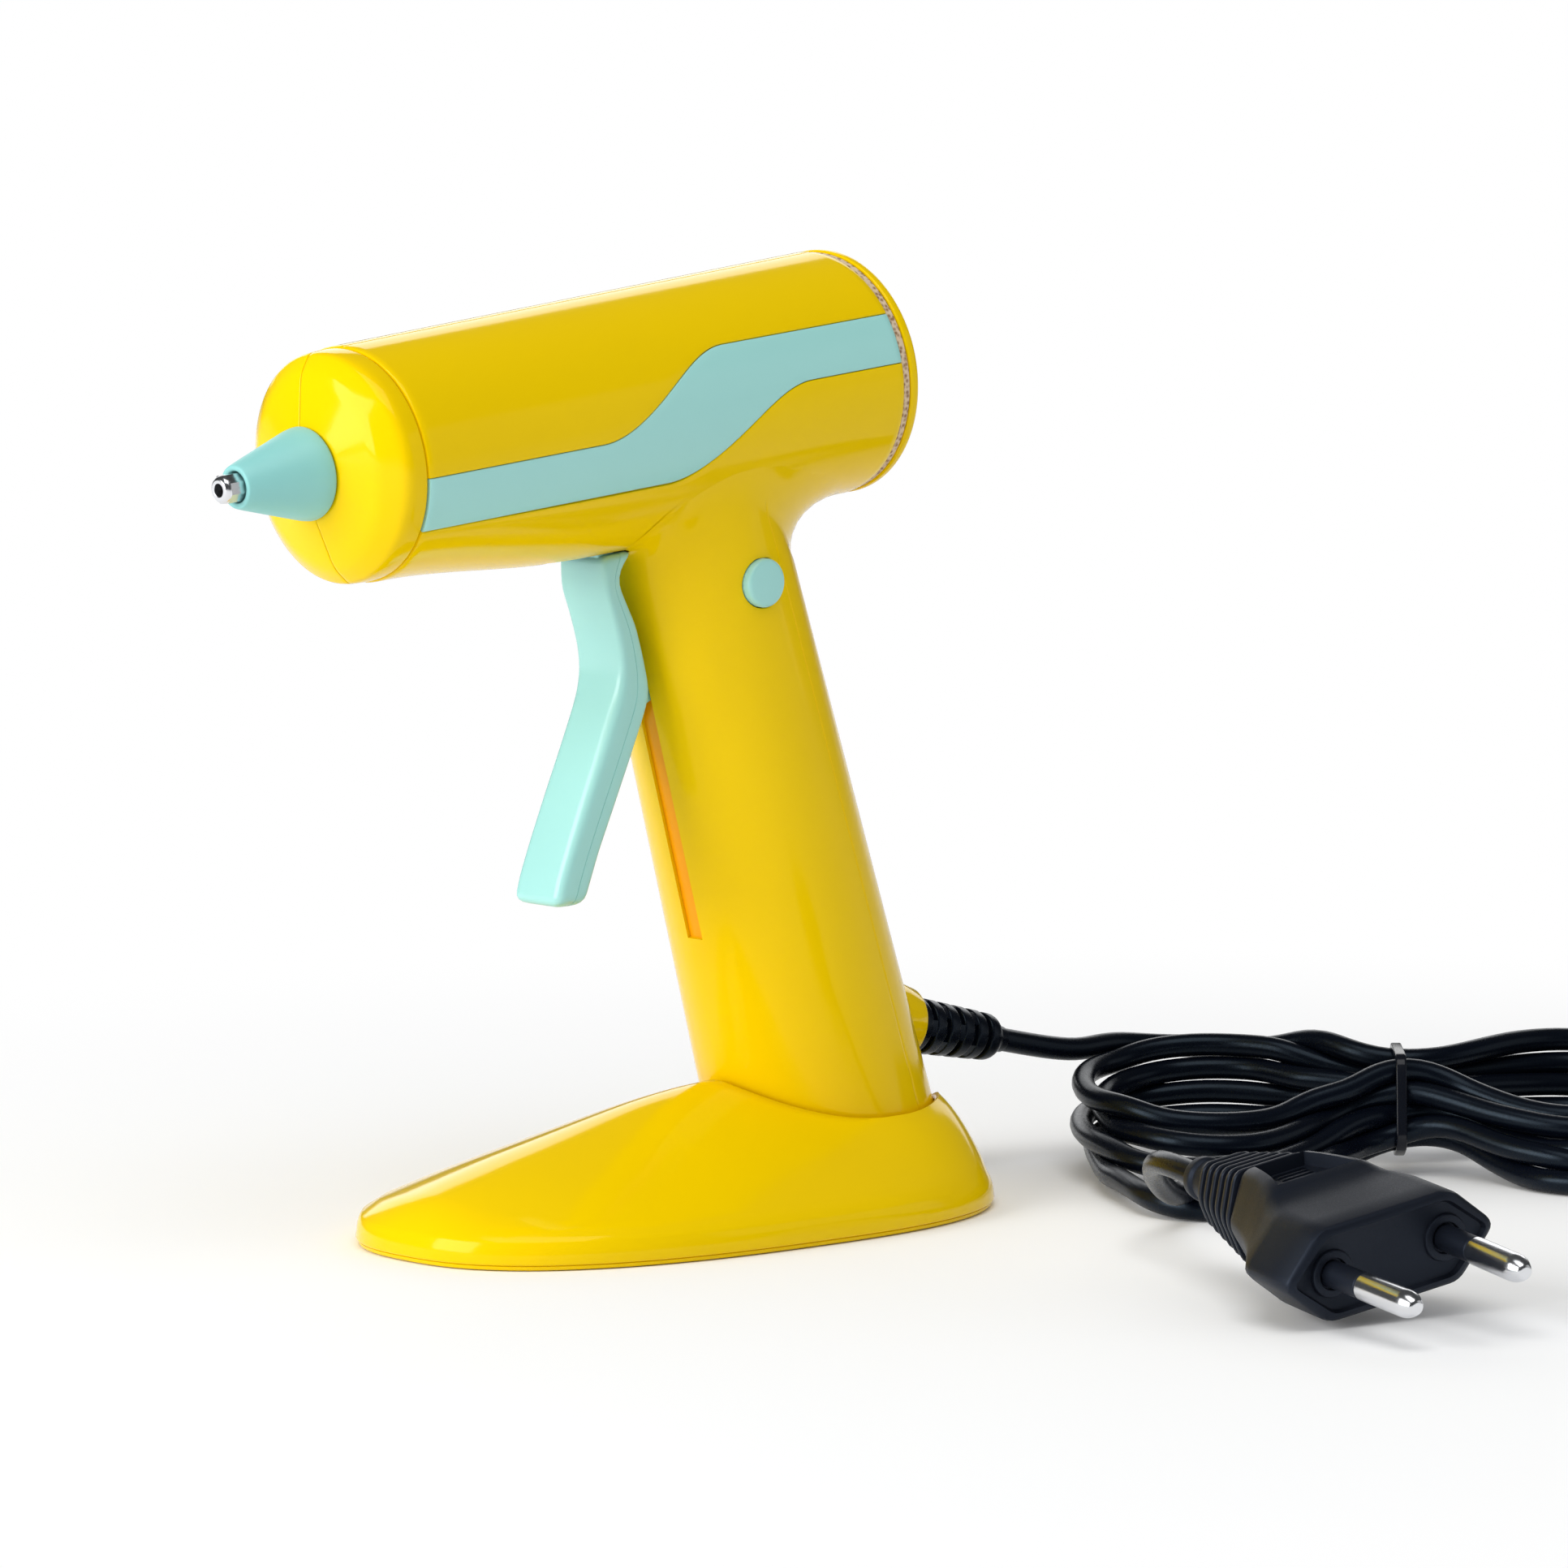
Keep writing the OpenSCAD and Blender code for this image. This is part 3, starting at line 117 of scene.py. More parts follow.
# the floor keeps the shadows near the tool and runs out into the plain white backdrop
floor_mat, nodes, links, shader = painted("floor")
value(shader, "Base Color", (0.98, 0.98, 0.98, 1))
value(shader, "Roughness", 0.9)
value(shader, "Specular IOR Level", 0)
where = nodes.new("ShaderNodeTexCoord")
far = nodes.new("ShaderNodeVectorMath")
far.operation = "DISTANCE"
value(far, 1, (0.04, -0.05, 0))
fade = nodes.new("ShaderNodeMapRange")
fade.interpolation_type = "SMOOTHSTEP"
value(fade, "From Min", 0.12)
value(fade, "From Max", 0.3)
rays = nodes.new("ShaderNodeLightPath")
shown = nodes.new("ShaderNodeMath")
shown.operation = "MULTIPLY"
backdrop = nodes.new("ShaderNodeEmission")
value(backdrop, "Strength", 1)
whole = nodes.new("ShaderNodeMixShader")
links.new(where.outputs["Object"], far.inputs[0])
links.new(far.outputs["Value"], fade.inputs["Value"])
links.new(fade.outputs["Result"], shown.inputs[0])
links.new(rays.outputs["Is Camera Ray"], shown.inputs[1])
links.new(shown.outputs[0], whole.inputs[0])
links.new(shader.outputs[0], whole.inputs[1])
links.new(backdrop.outputs[0], whole.inputs[2])
links.new(whole.outputs[0], nodes["Material Output"].inputs["Surface"])
bm = bmesh.new()
bmesh.ops.create_grid(bm, x_segments=2, y_segments=2, size=6)
bmesh.ops.translate(bm, verts=bm.verts, vec=(0, 0, -0.0001))
mesh = bpy.data.meshes.new("floor")
bm.to_mesh(mesh)
bm.free()
floor = bpy.data.objects.new("floor", mesh)
floor.data.materials.append(floor_mat)
scene.collection.objects.link(floor)

# ---- lead ----
# One round mains lead with a smooth black plastic sheath, 3.5 mm thick. It comes out of the
# strain relief, is folded into a hank of nine lobes that lie on each other at the tie, and
# leaves the hank's underside for the plug's tail.
CORD_R = 1.75
hank_turn = radians(-43.6)
hank_place = (117, -42)


def on_table(p):
    return np.stack([hank_place[0] + p[:, 0] * cos(hank_turn) - p[:, 1] * sin(hank_turn),
        hank_place[1] + p[:, 0] * sin(hank_turn) + p[:, 1] * cos(hank_turn), p[:, 2]], -1)


def along_hank(p):
    x, y = p[:, 0] - hank_place[0], p[:, 1] - hank_place[1]
    return np.stack([x * cos(hank_turn) + y * sin(hank_turn),
        y * cos(hank_turn) - x * sin(hank_turn), p[:, 2]], -1)


def spaced(p, step):
    far = np.r_[0, np.cumsum(np.linalg.norm(np.diff(p, axis=0), axis=1))]
    at = np.linspace(0, far[-1], int(round(far[-1] / step)) + 1)
    return np.stack([np.interp(at, far, p[:, i]) for i in range(3)], -1)


def lobe(side, reach, front, behind, z_back, z_front, tied):
    turn = np.radians(np.linspace(176, -176, 45))
    u = reach * np.cos(turn / 2)
    near = np.exp(-(u / 13.0) ** 2)
    v = np.where(turn > 0, behind, front) * np.sin(turn) * (1 - 0.12 * np.cos(turn))
    v = v * (1 - 0.55 * near) + np.where(turn > 0, tied[0], -tied[0]) * near
    high = z_front + (z_back - z_front) * np.clip(0.5 + 0.58 * np.sin(turn / 2), 0, 1)
    return np.stack([side * u, v, high * (1 - near) + tied[1] * near], -1)


right_reach = (47, 44, 46.5, 43.5, 45.5)
left_reach = (48, 45, 48, 46)
left_front = (19, 26, 33, 50)
tied = [(2.0, 15.2), (5.6, 12.4), (1.8, 11.6), (5.6, 8.8), (1.8, 7.9)]
run = []
for k in range(5):
    run.append(lobe(1, right_reach[k], 17 + 2.6 * k, 19 - 1.6 * k, 16.4 - 3.1 * k, 9.2 - 1.8 * k, tied[k]))
    if k < 4:
        left = lobe(-1, left_reach[k], left_front[k], 16 - 1.2 * k, 16.4 - 3.3 * k, 9 - 2.4 * k, tied[k + 1])
        run.append(left[::-1])
# the two free ends: from the relief to the hank, and from the hank to the plug
lead_route = [[74.5, 0, 19.16], [79.3, 0, 18.09], [83.4, -0.8, 17], [87.4, -2.4, 16]]
tail_route = [[64.5, -52.7, 2.2], [58, -54.8, 3.2], [51.5, -57.4, 5.4], [45, -61, 8.6], [39.5, -65.5, 11.8],
    [36, -70, 14], [33.1, -73.7, 14.4], [32, -78.55, 13.98], [31.1, -82.5, 13.6], [30, -87.4, 13.2]]
onto = np.array([[-42, 14, 15.8], [-34, 18, 15.6], [-26, 18.5, 15.6], [-18, 14.5, 15.6], [-9, 7, 15.8]])
off = np.array([[-4, -5.4, 2.8], [-12, -9, 1.9], [-20, -18, 1.9], [-27, -30, 1.9]])
p = np.concatenate([along_hank(np.array(lead_route)), onto] + run + [off, along_hank(np.array(tail_route))])
STEP = 2.4
STRAND_GAP = 3.7
LEAST_RADIUS = 13.4
TIE_LIFT = 0.95
p = spaced(p, STEP)
for _ in range(8):
    p[1:-1] = 0.5 * p[1:-1] + 0.25 * (p[:-2] + p[2:])
p = spaced(p, STEP)
# the strands push each other aside, keep the lead's least bend and stay near where they were laid
home = p.copy()
order = np.arange(len(p))
apart = np.abs(order[:, None] - order[None]) > 7
least_bend = STEP ** 2 / LEAST_RADIUS
for _ in range(150):
    away = p[:, None] - p[None]
    gap = np.sqrt((away ** 2).sum(-1)) + 1e-9
    push = np.where(apart & (gap < STRAND_GAP), (STRAND_GAP - gap) / gap, 0)
    p = p + 0.5 * (away * push[:, :, None]).sum(1) / np.maximum((push > 0).sum(1), 1)[:, None]
    p += 0.02 * (home - p)
    under_tie = np.exp(-(p[:, 0] / 5) ** 4) * (np.abs(p[:, 1]) < 14)
    p[:, 2] = np.maximum(p[:, 2], CORD_R + TIE_LIFT * under_tie)
    for _ in range(4):
        curl = p[:-2] - 2 * p[1:-1] + p[2:]
        size = np.linalg.norm(curl, axis=1) + 1e-9
        ease = curl * np.maximum(0, 1 - least_bend / size)[:, None]
        p[1:-1] += 0.3 * ease
        p[:-2] -= 0.15 * ease
        p[2:] -= 0.15 * ease
    leg = np.diff(p, axis=0)
    pull = leg * (1 - STEP / np.linalg.norm(leg, axis=1)[:, None]) * 0.25
    p[:-1] += pull
    p[1:] -= pull
    p[:4] = home[:4]
    p[-4:] = home[-4:]
lead_line = spaced(p, 1.6)
for _ in range(2):
    lead_line[1:-1] = 0.5 * lead_line[1:-1] + 0.25 * (lead_line[:-2] + lead_line[2:])
bundle = lead_line[np.abs(lead_line[:, 0]) < 1.2][:, 1:]
lead_line = on_table(lead_line)

MM = 0.001
curve = bpy.data.curves.new("lead", "CURVE")
curve.dimensions = "3D"
curve.bevel_depth = 1
curve.bevel_resolution = 6
curve.use_fill_caps = True
spline = curve.splines.new("POLY")
spline.points.add(len(lead_line) - 1)
for point, at in zip(spline.points, lead_line):
    point.co = (*(at * MM), 1)
    point.radius = CORD_R * MM
spline.use_smooth = True
lead = bpy.data.objects.new("lead", curve)
scene.collection.objects.link(lead)
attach(lead, "gun")
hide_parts("cord_lead", "cord_hank", "cord_tail")

# moulded surface: soft clouds of shade, fine grain and a fine bump, shared by plastics and metals
grain = bpy.data.node_groups.new("moulded", "ShaderNodeTree")
for socket in ("Shade", "Deep"):
    grain.interface.new_socket(socket, in_out="INPUT", socket_type="NodeSocketColor")
for socket in ("Grain size", "Rough low", "Rough high"):
    grain.interface.new_socket(socket, in_out="INPUT", socket_type="NodeSocketFloat")
grain.interface.new_socket("Color", in_out="OUTPUT", socket_type="NodeSocketColor")
for socket in ("Roughness", "Height"):
    grain.interface.new_socket(socket, in_out="OUTPUT", socket_type="NodeSocketFloat")
nodes, links = grain.nodes, grain.links
given, made = nodes.new("NodeGroupInput"), nodes.new("NodeGroupOutput")
where = nodes.new("ShaderNodeTexCoord")
cloud = nodes.new("ShaderNodeTexNoise")
value(cloud, "Detail", 3)
value(cloud, "Scale", 45)
fine = nodes.new("ShaderNodeTexNoise")
value(fine, "Detail", 2)
links.new(where.outputs["Object"], cloud.inputs["Vector"])
links.new(where.outputs["Object"], fine.inputs["Vector"])
links.new(given.outputs["Grain size"], fine.inputs["Scale"])
blend = nodes.new("ShaderNodeMix")
blend.data_type = "RGBA"
links.new(cloud.outputs["Fac"], blend.inputs["Factor"])
links.new(given.outputs["Shade"], blend.inputs["A"])
links.new(given.outputs["Deep"], blend.inputs["B"])
links.new(blend.outputs["Result"], made.inputs["Color"])
mixed = nodes.new("ShaderNodeMath")
mixed.operation = "MULTIPLY"
links.new(cloud.outputs["Fac"], mixed.inputs[0])
links.new(fine.outputs["Fac"], mixed.inputs[1])
spread = nodes.new("ShaderNodeMapRange")
value(spread, "From Min", 0.1)
value(spread, "From Max", 0.4)
links.new(mixed.outputs[0], spread.inputs["Value"])
links.new(given.outputs["Rough low"], spread.inputs["To Min"])
links.new(given.outputs["Rough high"], spread.inputs["To Max"])
links.new(spread.outputs["Result"], made.inputs["Roughness"])
links.new(fine.outputs["Fac"], made.inputs["Height"])


def moulded(name, shade, deep, rough, grains=2600, bump=0.02, metal=0, level=0.5, tint=(1, 1, 1)):
    mat, nodes, links, shader = painted(name)
    group = nodes.new("ShaderNodeGroup")
    group.node_tree = grain
    value(group, "Shade", (*shade, 1))
    value(group, "Deep", (*deep, 1))
    value(group, "Grain size", grains)
    value(group, "Rough low", rough[0])
    value(group, "Rough high", rough[1])
    dent = nodes.new("ShaderNodeBump")
    value(dent, "Strength", bump)
    value(dent, "Distance", 0.00002)
    links.new(group.outputs["Color"], shader.inputs["Base Color"])
    links.new(group.outputs["Roughness"], shader.inputs["Roughness"])
    links.new(group.outputs["Height"], dent.inputs["Height"])
    links.new(dent.outputs["Normal"], shader.inputs["Normal"])
    value(shader, "Metallic", metal)
    value(shader, "Specular IOR Level", level)
    value(shader, "Specular Tint", (*tint, 1))
    return mat


cable = moulded("black_cable", (0.0025, 0.004, 0.009), (0.0015, 0.0022, 0.005), (0.24, 0.34), bump=0.03,
    level=0.24, tint=(0.6, 0.8, 1))
lead.data.materials.append(cable)

# ---- tie ----
# A thin strap of glossy black plastic over wire, drawn round the hank's waist and twisted
# shut at its far side.
STRAP_HALF, STRAP_THICK = 0.8, 0.75
tie_mat = moulded("black_tie", (0.006, 0.008, 0.013), (0.004, 0.005, 0.009), (0.15, 0.25), bump=0.03,
    level=0.3)


def piece(name, bm, mat, body, place=Matrix(), stands_for=(), sharp=34):
    bmesh.ops.remove_doubles(bm, verts=bm.verts, dist=1e-4)
    bmesh.ops.recalc_face_normals(bm, faces=bm.faces)
    for f in bm.faces:
        f.smooth = True
    for e in bm.edges:
        e.smooth = len(e.link_faces) != 2 or e.calc_face_angle() < radians(sharp)
    bmesh.ops.transform(bm, matrix=Matrix.Scale(MM, 4) @ place, verts=bm.verts)
    mesh = bpy.data.meshes.new(name)
    bm.to_mesh(mesh)
    bm.free()
    obj = bpy.data.objects.new(name, mesh)
    mesh.materials.append(mat)
    scene.collection.objects.link(obj)
    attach(obj, body)
    if stands_for:
        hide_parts(*stands_for)
    return obj


def skin(bm, rings, ends=(False, False)):
    # joins each ring of points to the next with faces
    rows = [[bm.verts.new(q) for q in ring] for ring in rings]
    n = len(rows[0])
    for a, b in zip(rows, rows[1:]):
        for i in range(n):
            bm.faces.new((a[i], a[(i + 1) % n], b[(i + 1) % n], b[i]))
    if ends[0]:
        bm.faces.new(rows[0])
    if ends[1]:
        bm.faces.new(rows[-1])


def eased(points, n=4):
    # a polyline of (x, y, radius): each corner becomes an arc of about that radius
    done = []
    for i, (x, y, r) in enumerate(points):
        here = Vector((x, y))
        if r <= 0 or i in (0, len(points) - 1):
            done.append((x, y))
            continue
        a = Vector(points[i - 1][:2]) - here
        b = Vector(points[i + 1][:2]) - here
        cut = min(r, 0.49 * a.length, 0.49 * b.length)
        a, b = here + a.normalized() * cut, here + b.normalized() * cut
        for k in range(n + 1):
            t = k / n
            q = a * (1 - t) ** 2 + here * 2 * t * (1 - t) + b * t ** 2
            done.append((q.x, q.y))
    return done


around = np.linspace(0, 2 * pi, 73)[:-1]
reach = np.array([max(v * cos(a) + z * sin(a) for v, z in bundle) for a in around]) + CORD_R + 0.1
rings = []
for i, a in enumerate(around):
    grow = (reach[(i + 1) % 72] - reach[i - 1]) / (2 * (around[1] - around[0]))
    ring = []
    for w, h in eased([(-STRAP_HALF, 0, 0), (-STRAP_HALF, STRAP_THICK, 0.3), (STRAP_HALF, STRAP_THICK, 0.3),
            (STRAP_HALF, 0, 0)]):
        v = (reach[i] + h) * cos(a) - grow * sin(a)
        z = (reach[i] + h) * sin(a) + grow * cos(a)
        ring.append((w, v, max(z, 0.03 + 0.01 * (STRAP_THICK - h))))
    rings.append(ring)
bm = bmesh.new()
skin(bm, rings + rings[:1])
side = max(reach[0] - 0.4, 4)
twist = []
for k in range(15):
    ring = []
    for j in range(10):
        turn = 2 * pi * j / 10
        r = 0.55 * (1 + 0.5 * cos(2 * turn))
        z = 8.6 + 0.5 * sin(k * 0.25) + r * sin(turn + k * 0.55)
        ring.append((r * cos(turn + k * 0.55), side + 0.6 * k, z))
    twist.append(ring)
skin(bm, twist, ends=(True, True))
place_hank = Matrix.Translation((hank_place[0], hank_place[1], 0)) @ Matrix.Rotation(hank_turn, 4, "Z")
tie = piece("hank_tie", bm, tie_mat, "gun", place_hank, ["cord_tie"], sharp=60)

# ---- plug ----
# A flat two-pin mains plug, moulded onto the lead in dull black plastic: six-sided body, sunk
# thumb grip and ribbed tail. The two plated pins are moulded in, with a short black sleeve
# round the root of each.
PIN_HALF = 9.3
PIN_TOE = radians(1.2)
GRIP_FRONT, GRIP_REAR = -16.8, -26.2
RIB_PITCH, TAIL_PITCH = 1.15, 2.2
black = moulded("black_plug", (0.007, 0.009, 0.015), (0.004, 0.005, 0.009), (0.42, 0.55), grains=5200,
    bump=0.25, level=0.35, tint=(0.62, 0.75, 1))
chrome = moulded("plated_metal", (0.80, 0.81, 0.83), (0.72, 0.73, 0.76), (0.16, 0.24), metal=1)
place_plug = (Matrix.Translation((20.4, -129.6, 9.4)) @ Matrix.Rotation(radians(-102.8), 4, "Z")
    @ Matrix.Rotation(radians(5), 4, "Y") @ Matrix.Rotation(radians(10.5), 4, "X"))


def six(x, w, t, r, flat=0.62):
    corners = [(w, 0), (flat * w, t), (-flat * w, t), (-w, 0), (-flat * w, -t), (flat * w, -t)]
    ring = []
    for i, c in enumerate(corners):
        c = Vector(c)
        a, b = Vector(corners[i - 1]) - c, Vector(corners[(i + 1) % 6]) - c
        a, b = c + a.normalized() * r, c + b.normalized() * r
        for k in range(5):
            s = k / 4
            q = a * (1 - s) ** 2 + c * 2 * s * (1 - s) + b * s ** 2
            ring.append((x, q.x, q.y))
    return ring


def turned(bm, profile, n, arc=2 * pi, closed=False):
    verts = [bm.verts.new((x, 0, r)) for x, r in profile]
    pairs = list(zip(verts, verts[1:])) + ([(verts[-1], verts[0])] if closed else [])
    edges = [bm.edges.new(q) for q in pairs]
    bmesh.ops.spin(bm, geom=verts + edges, cent=(0, 0, 0), axis=(1, 0, 0), angle=arc, steps=n,
        use_merge=arc > 6)


def at_pin(bm, side, profile, n=4):
    before = set(bm.verts)
    turned(bm, eased(profile, n), 40)
    out = Matrix.Translation((0, side * PIN_HALF, 0)) @ Matrix.Rotation(-side * PIN_TOE, 4, "Z")
    bmesh.ops.transform(bm, matrix=out, verts=[v for v in bm.verts if v not in before])


bm = bmesh.new()
body = [(-0.9, 15.2, 5.0, 1.2), (-0.75, 15.7, 5.3, 1.2), (0, 16.1, 5.6, 1.2), (-0.05, 16.6, 6.1, 1.4),
    (-0.35, 17.3, 6.6, 1.6), (-0.9, 17.6, 6.8, 1.8), (-5, 17.6, 6.8, 1.8), (-10, 17.5, 6.8, 1.8),
    (-11.4, 17.1, 6.8, 1.8), (-14, 15.2, 7.0, 1.8), (-15.6, 14, 7.6, 1.8), (GRIP_FRONT, 13.1, 8.1, 1.7),
    (-20, 11.4, 8.2, 1.6), (-23, 10.1, 8.1, 1.5), (GRIP_REAR, 9, 7.8, 1.5),
    (-27.4, 8.5, 7.3, 1.4), (-27.8, 7.7, 6.6, 1.2)]
skin(bm, [six(*row) for row in body], ends=(True, True))
bm.faces.ensure_lookup_table()
grip = [f for f in bm.faces if len(f.verts) == 4 and f.calc_center_median().z > 5.2
    and abs(f.calc_center_median().y) < 2 and GRIP_REAR < f.calc_center_median().x < GRIP_FRONT]
bmesh.ops.inset_region(bm, faces=grip, thickness=0.6, depth=0, use_even_offset=True)
bmesh.ops.inset_region(bm, faces=grip, thickness=0.35, depth=0, use_even_offset=True)
bmesh.ops.translate(bm, verts=list({v for f in grip for v in f.verts}), vec=(0, 0, -1.9))
for k in range(6):
    x = -18.6 - RIB_PITCH * k
    skin(bm, [[(x + a, -3.4 + 6.8 * j / 6, z + (0.12 if 0 < j < 6 else -0.3)) for a, z in
        ((-0.32, 5.6), (-0.2, 6.3), (0.2, 6.3), (0.32, 5.6))] for j in range(7)], ends=(True, True))
turned(bm, eased([(-27, 0, 0), (-27, 5.2, 0), (-45.2, 2.9, 0), (-45.8, 3.3, 0.5), (-47.5, 3.0, 0.9),
    (-47.8, 2.2, 0.3), (-47.8, 0, 0)]), 40)
for k in range(6):
    a, b = -28.4 - TAIL_PITCH * k, -29.8 - TAIL_PITCH * k
    w, t = 8 - 0.52 * k, 6.9 - 0.4 * k
    skin(bm, [six(a, w - 0.5, t - 0.5, 1.4, 0.72), six(a - 0.2, w - 0.1, t - 0.1, 1.5, 0.72),
        six(a - 0.5, w, t, 1.5, 0.72), six(b + 0.5, w - 0.15, t - 0.12, 1.5, 0.72),
        six(b + 0.2, w - 0.25, t - 0.22, 1.5, 0.72), six(b, w - 0.6, t - 0.6, 1.4, 0.72)], ends=(True, True))
for side in (-1, 1):
    at_pin(bm, side, [(-1.2, 3.5, 0), (-0.35, 3.3, 0.2), (-0.3, 2.2, 0.2), (-1.2, 2.1, 0)])
plug = piece("plug_shell", bm, black, "gun", place_plug, ["plug_body"], sharp=40)
bm = bmesh.new()
for side in (-1, 1):
    at_pin(bm, side, [(-1, 1.9, 0), (6.55, 1.9, 0.2), (6.8, 1.75, 0.2), (6.8, 1.2, 0)])
sleeves = piece("pin_sleeves", bm, black, "gun", place_plug, ["plug_sleeves"])
bm = bmesh.new()
for side in (-1, 1):
    at_pin(bm, side, [(6.4, 0, 0), (6.4, 1.5, 0), (6.9, 1.98, 0.15), (17.2, 1.98, 1.2), (19, 1.0, 0.7),
        (19, 0, 0)], 6)
pins = piece("pin_ends", bm, chrome, "gun", place_plug, ["plug_pins"], sharp=50)

# ---- strain relief ----
# A short sleeve of soft black plastic round the lead, with five rings and a rounded collar at
# its end. Its plain end is held in the boss at the handle's foot.
place_outlet = Matrix.Translation((58.2, 0, 22.8)) @ Matrix.Rotation(radians(12.6), 4, "Y")
RELIEF_R, RING_PITCH, RING_TAPER = 4.3, 3.1, 0.13
line = [(-10.2, 0, 0), (-10.2, 3.4, 0.3), (-9.2, RELIEF_R, 0.2), (-4.3, RELIEF_R, 0)]
for k in range(5):
    r = RELIEF_R - RING_TAPER * k
    x = -4.1 + RING_PITCH * k
    line += [(x, r - 0.9, 0.1), (x + 0.05, r, 0.35), (x + 2.15, r - 0.07, 0.35), (x + 2.2, r - 0.95, 0.1)]
line += [(11.4, 2.6, 0.1), (11.45, 3.6, 0.4), (13.6, 3.55, 1.3), (14.9, 2.1, 0.5), (16.6, 1.95, 0.1),
    (16.6, 1.7, 0)]
bm = bmesh.new()
turned(bm, eased(line), 64)
# four short bridges join each ring to the next
for k in range(4):
    x, r = -2.0 + RING_PITCH * k, RELIEF_R - 0.25 - RING_TAPER * k
    bridge = ((-1.2, 2.4), (-1.2, r - 0.16), (0, r), (1.2, r - 0.16), (1.2, 2.4))
    for j in range(4):
        a = pi / 2 * j + pi / 4 * (k % 2)
        y, z = cos(a), sin(a)
        skin(bm, [[(x + u, q * y - w * z, q * z + w * y) for w, q in bridge] for u in (-0.3, 1.3)],
            ends=(True, True))
piece("relief_sleeve", bm, cable, "gun", place_outlet, ["strain_relief"], sharp=45)

# ---- barrel ----
# The barrel of the glossy yellow plastic housing: a slightly tapered tube of two screwed
# halves, with their mould line along the top, a sunk bed on each side for the mint band and
# an opening underneath for the trigger's fork.
yellow = moulded("yellow_shell", (0.90, 0.612, 0.0004), (0.87, 0.582, 0.0003), (0.08, 0.15), bump=0.02,
    level=0.24, tint=(1, 0.94, 0.5))
DIP = radians(-5)
place_gun = Matrix.Translation((-53.8, 0, 113.7)) @ Matrix.Rotation(DIP, 4, "Y")
BARREL_LONG = 91.3
SHELL_END = BARREL_LONG - 0.5
FORK_FROM, FORK_TO, FORK_HALF = 31.6, 47.4, 4.2
BED_DEPTH = 0.9
KEEL_DEPTH = 2.3


def barrel_r(x):
    return 16.7 + 1.2 * x / BARREL_LONG


def step_up(x, start, stop):
    t = min(1, max(0, (x - start) / (stop - start)))
    return t * t * (3 - 2 * t)


def band_top(x):
    return -1.0 + 10.6 * step_up(x, 32.5, 58.5)


def band_foot(x):
    return -8.6 + 11.2 * step_up(x, 46, 73)


def keel(x, straight_down):
    # how far the housing swells below the barrel, ahead of the handle, for the trigger
    if straight_down <= 0.35:
        return 0.0
    along = step_up(x, 2, 38) * (1 - step_up(x, 58, 80))
    return KEEL_DEPTH * along * step_up(straight_down, 0.35, 0.98)


def barrel_ring(x, sink=0.0):
    r = barrel_r(x)
    high, low = asin((band_top(x) + 0.1) / r), asin((band_foot(x) - 0.1) / r)
    edge = -acos(FORK_HALF / r)
    spots = [(pi / 2, -0.1), (pi / 2 - 0.012, -0.02)]
    spots += [(pi / 2 - 0.03 + (high + 0.015 - pi / 2 + 0.03) * k / 14, 0) for k in range(15)]
    spots += [(high + 0.006, -0.03), (high, -0.12), (high, -BED_DEPTH)]
    spots += [(high + (low - high) * k / 6, -BED_DEPTH) for k in range(1, 6)]
    spots += [(low, -BED_DEPTH), (low, -0.12), (low - 0.006, -0.03)]
    spots += [(low - 0.015 + (edge - low + 0.015) * k / 12, 0) for k in range(13)]
    spots += [(edge + (-pi / 2 - edge) * k / 4, 0) for k in range(1, 4)]
    half = [(cos(a) * (r + d - sink), sin(a) * (r + d + keel(x, -sin(a)) - sink)) for a, d in spots]
    left = [(x, -y, z) for y, z in half]
    return left + [(x, 0, -(r + keel(x, 1) - 0.1 - sink))] + [(x, y, z) for y, z in half[:0:-1]]


stations = [round(0.35 + (BARREL_LONG - 1.1) * k / 104, 4) for k in range(105)]
stations = sorted(stations + [FORK_FROM, FORK_TO])
rings = [barrel_ring(0.02, 2.0), barrel_ring(0.02, 0.35), barrel_ring(0.1, 0.12)]
rings += [barrel_ring(x) for x in stations]
rings += [barrel_ring(SHELL_END - 0.08, 0.1), barrel_ring(SHELL_END, 0.3), barrel_ring(SHELL_END, 2.0)]
bm = bmesh.new()
skin(bm, rings)
gone = [f for f in bm.faces if FORK_FROM < f.calc_center_median().x < FORK_TO
    and f.calc_center_median().z < -10 and abs(f.calc_center_median().y) < FORK_HALF - 0.1]
bmesh.ops.delete(bm, geom=gone, context="FACES")
rim = [e for e in bm.edges if e.is_boundary and all(31 < v.co.x < 48 for v in e.verts)]
lip = bmesh.ops.extrude_edge_only(bm, edges=rim)["geom"]
for v in [g for g in lip if isinstance(g, bmesh.types.BMVert)]:
    v.co.z += 2.0
piece("barrel_shell", bm, yellow, "gun", place_gun, ["housing_left", "housing_right"],
    sharp=40)

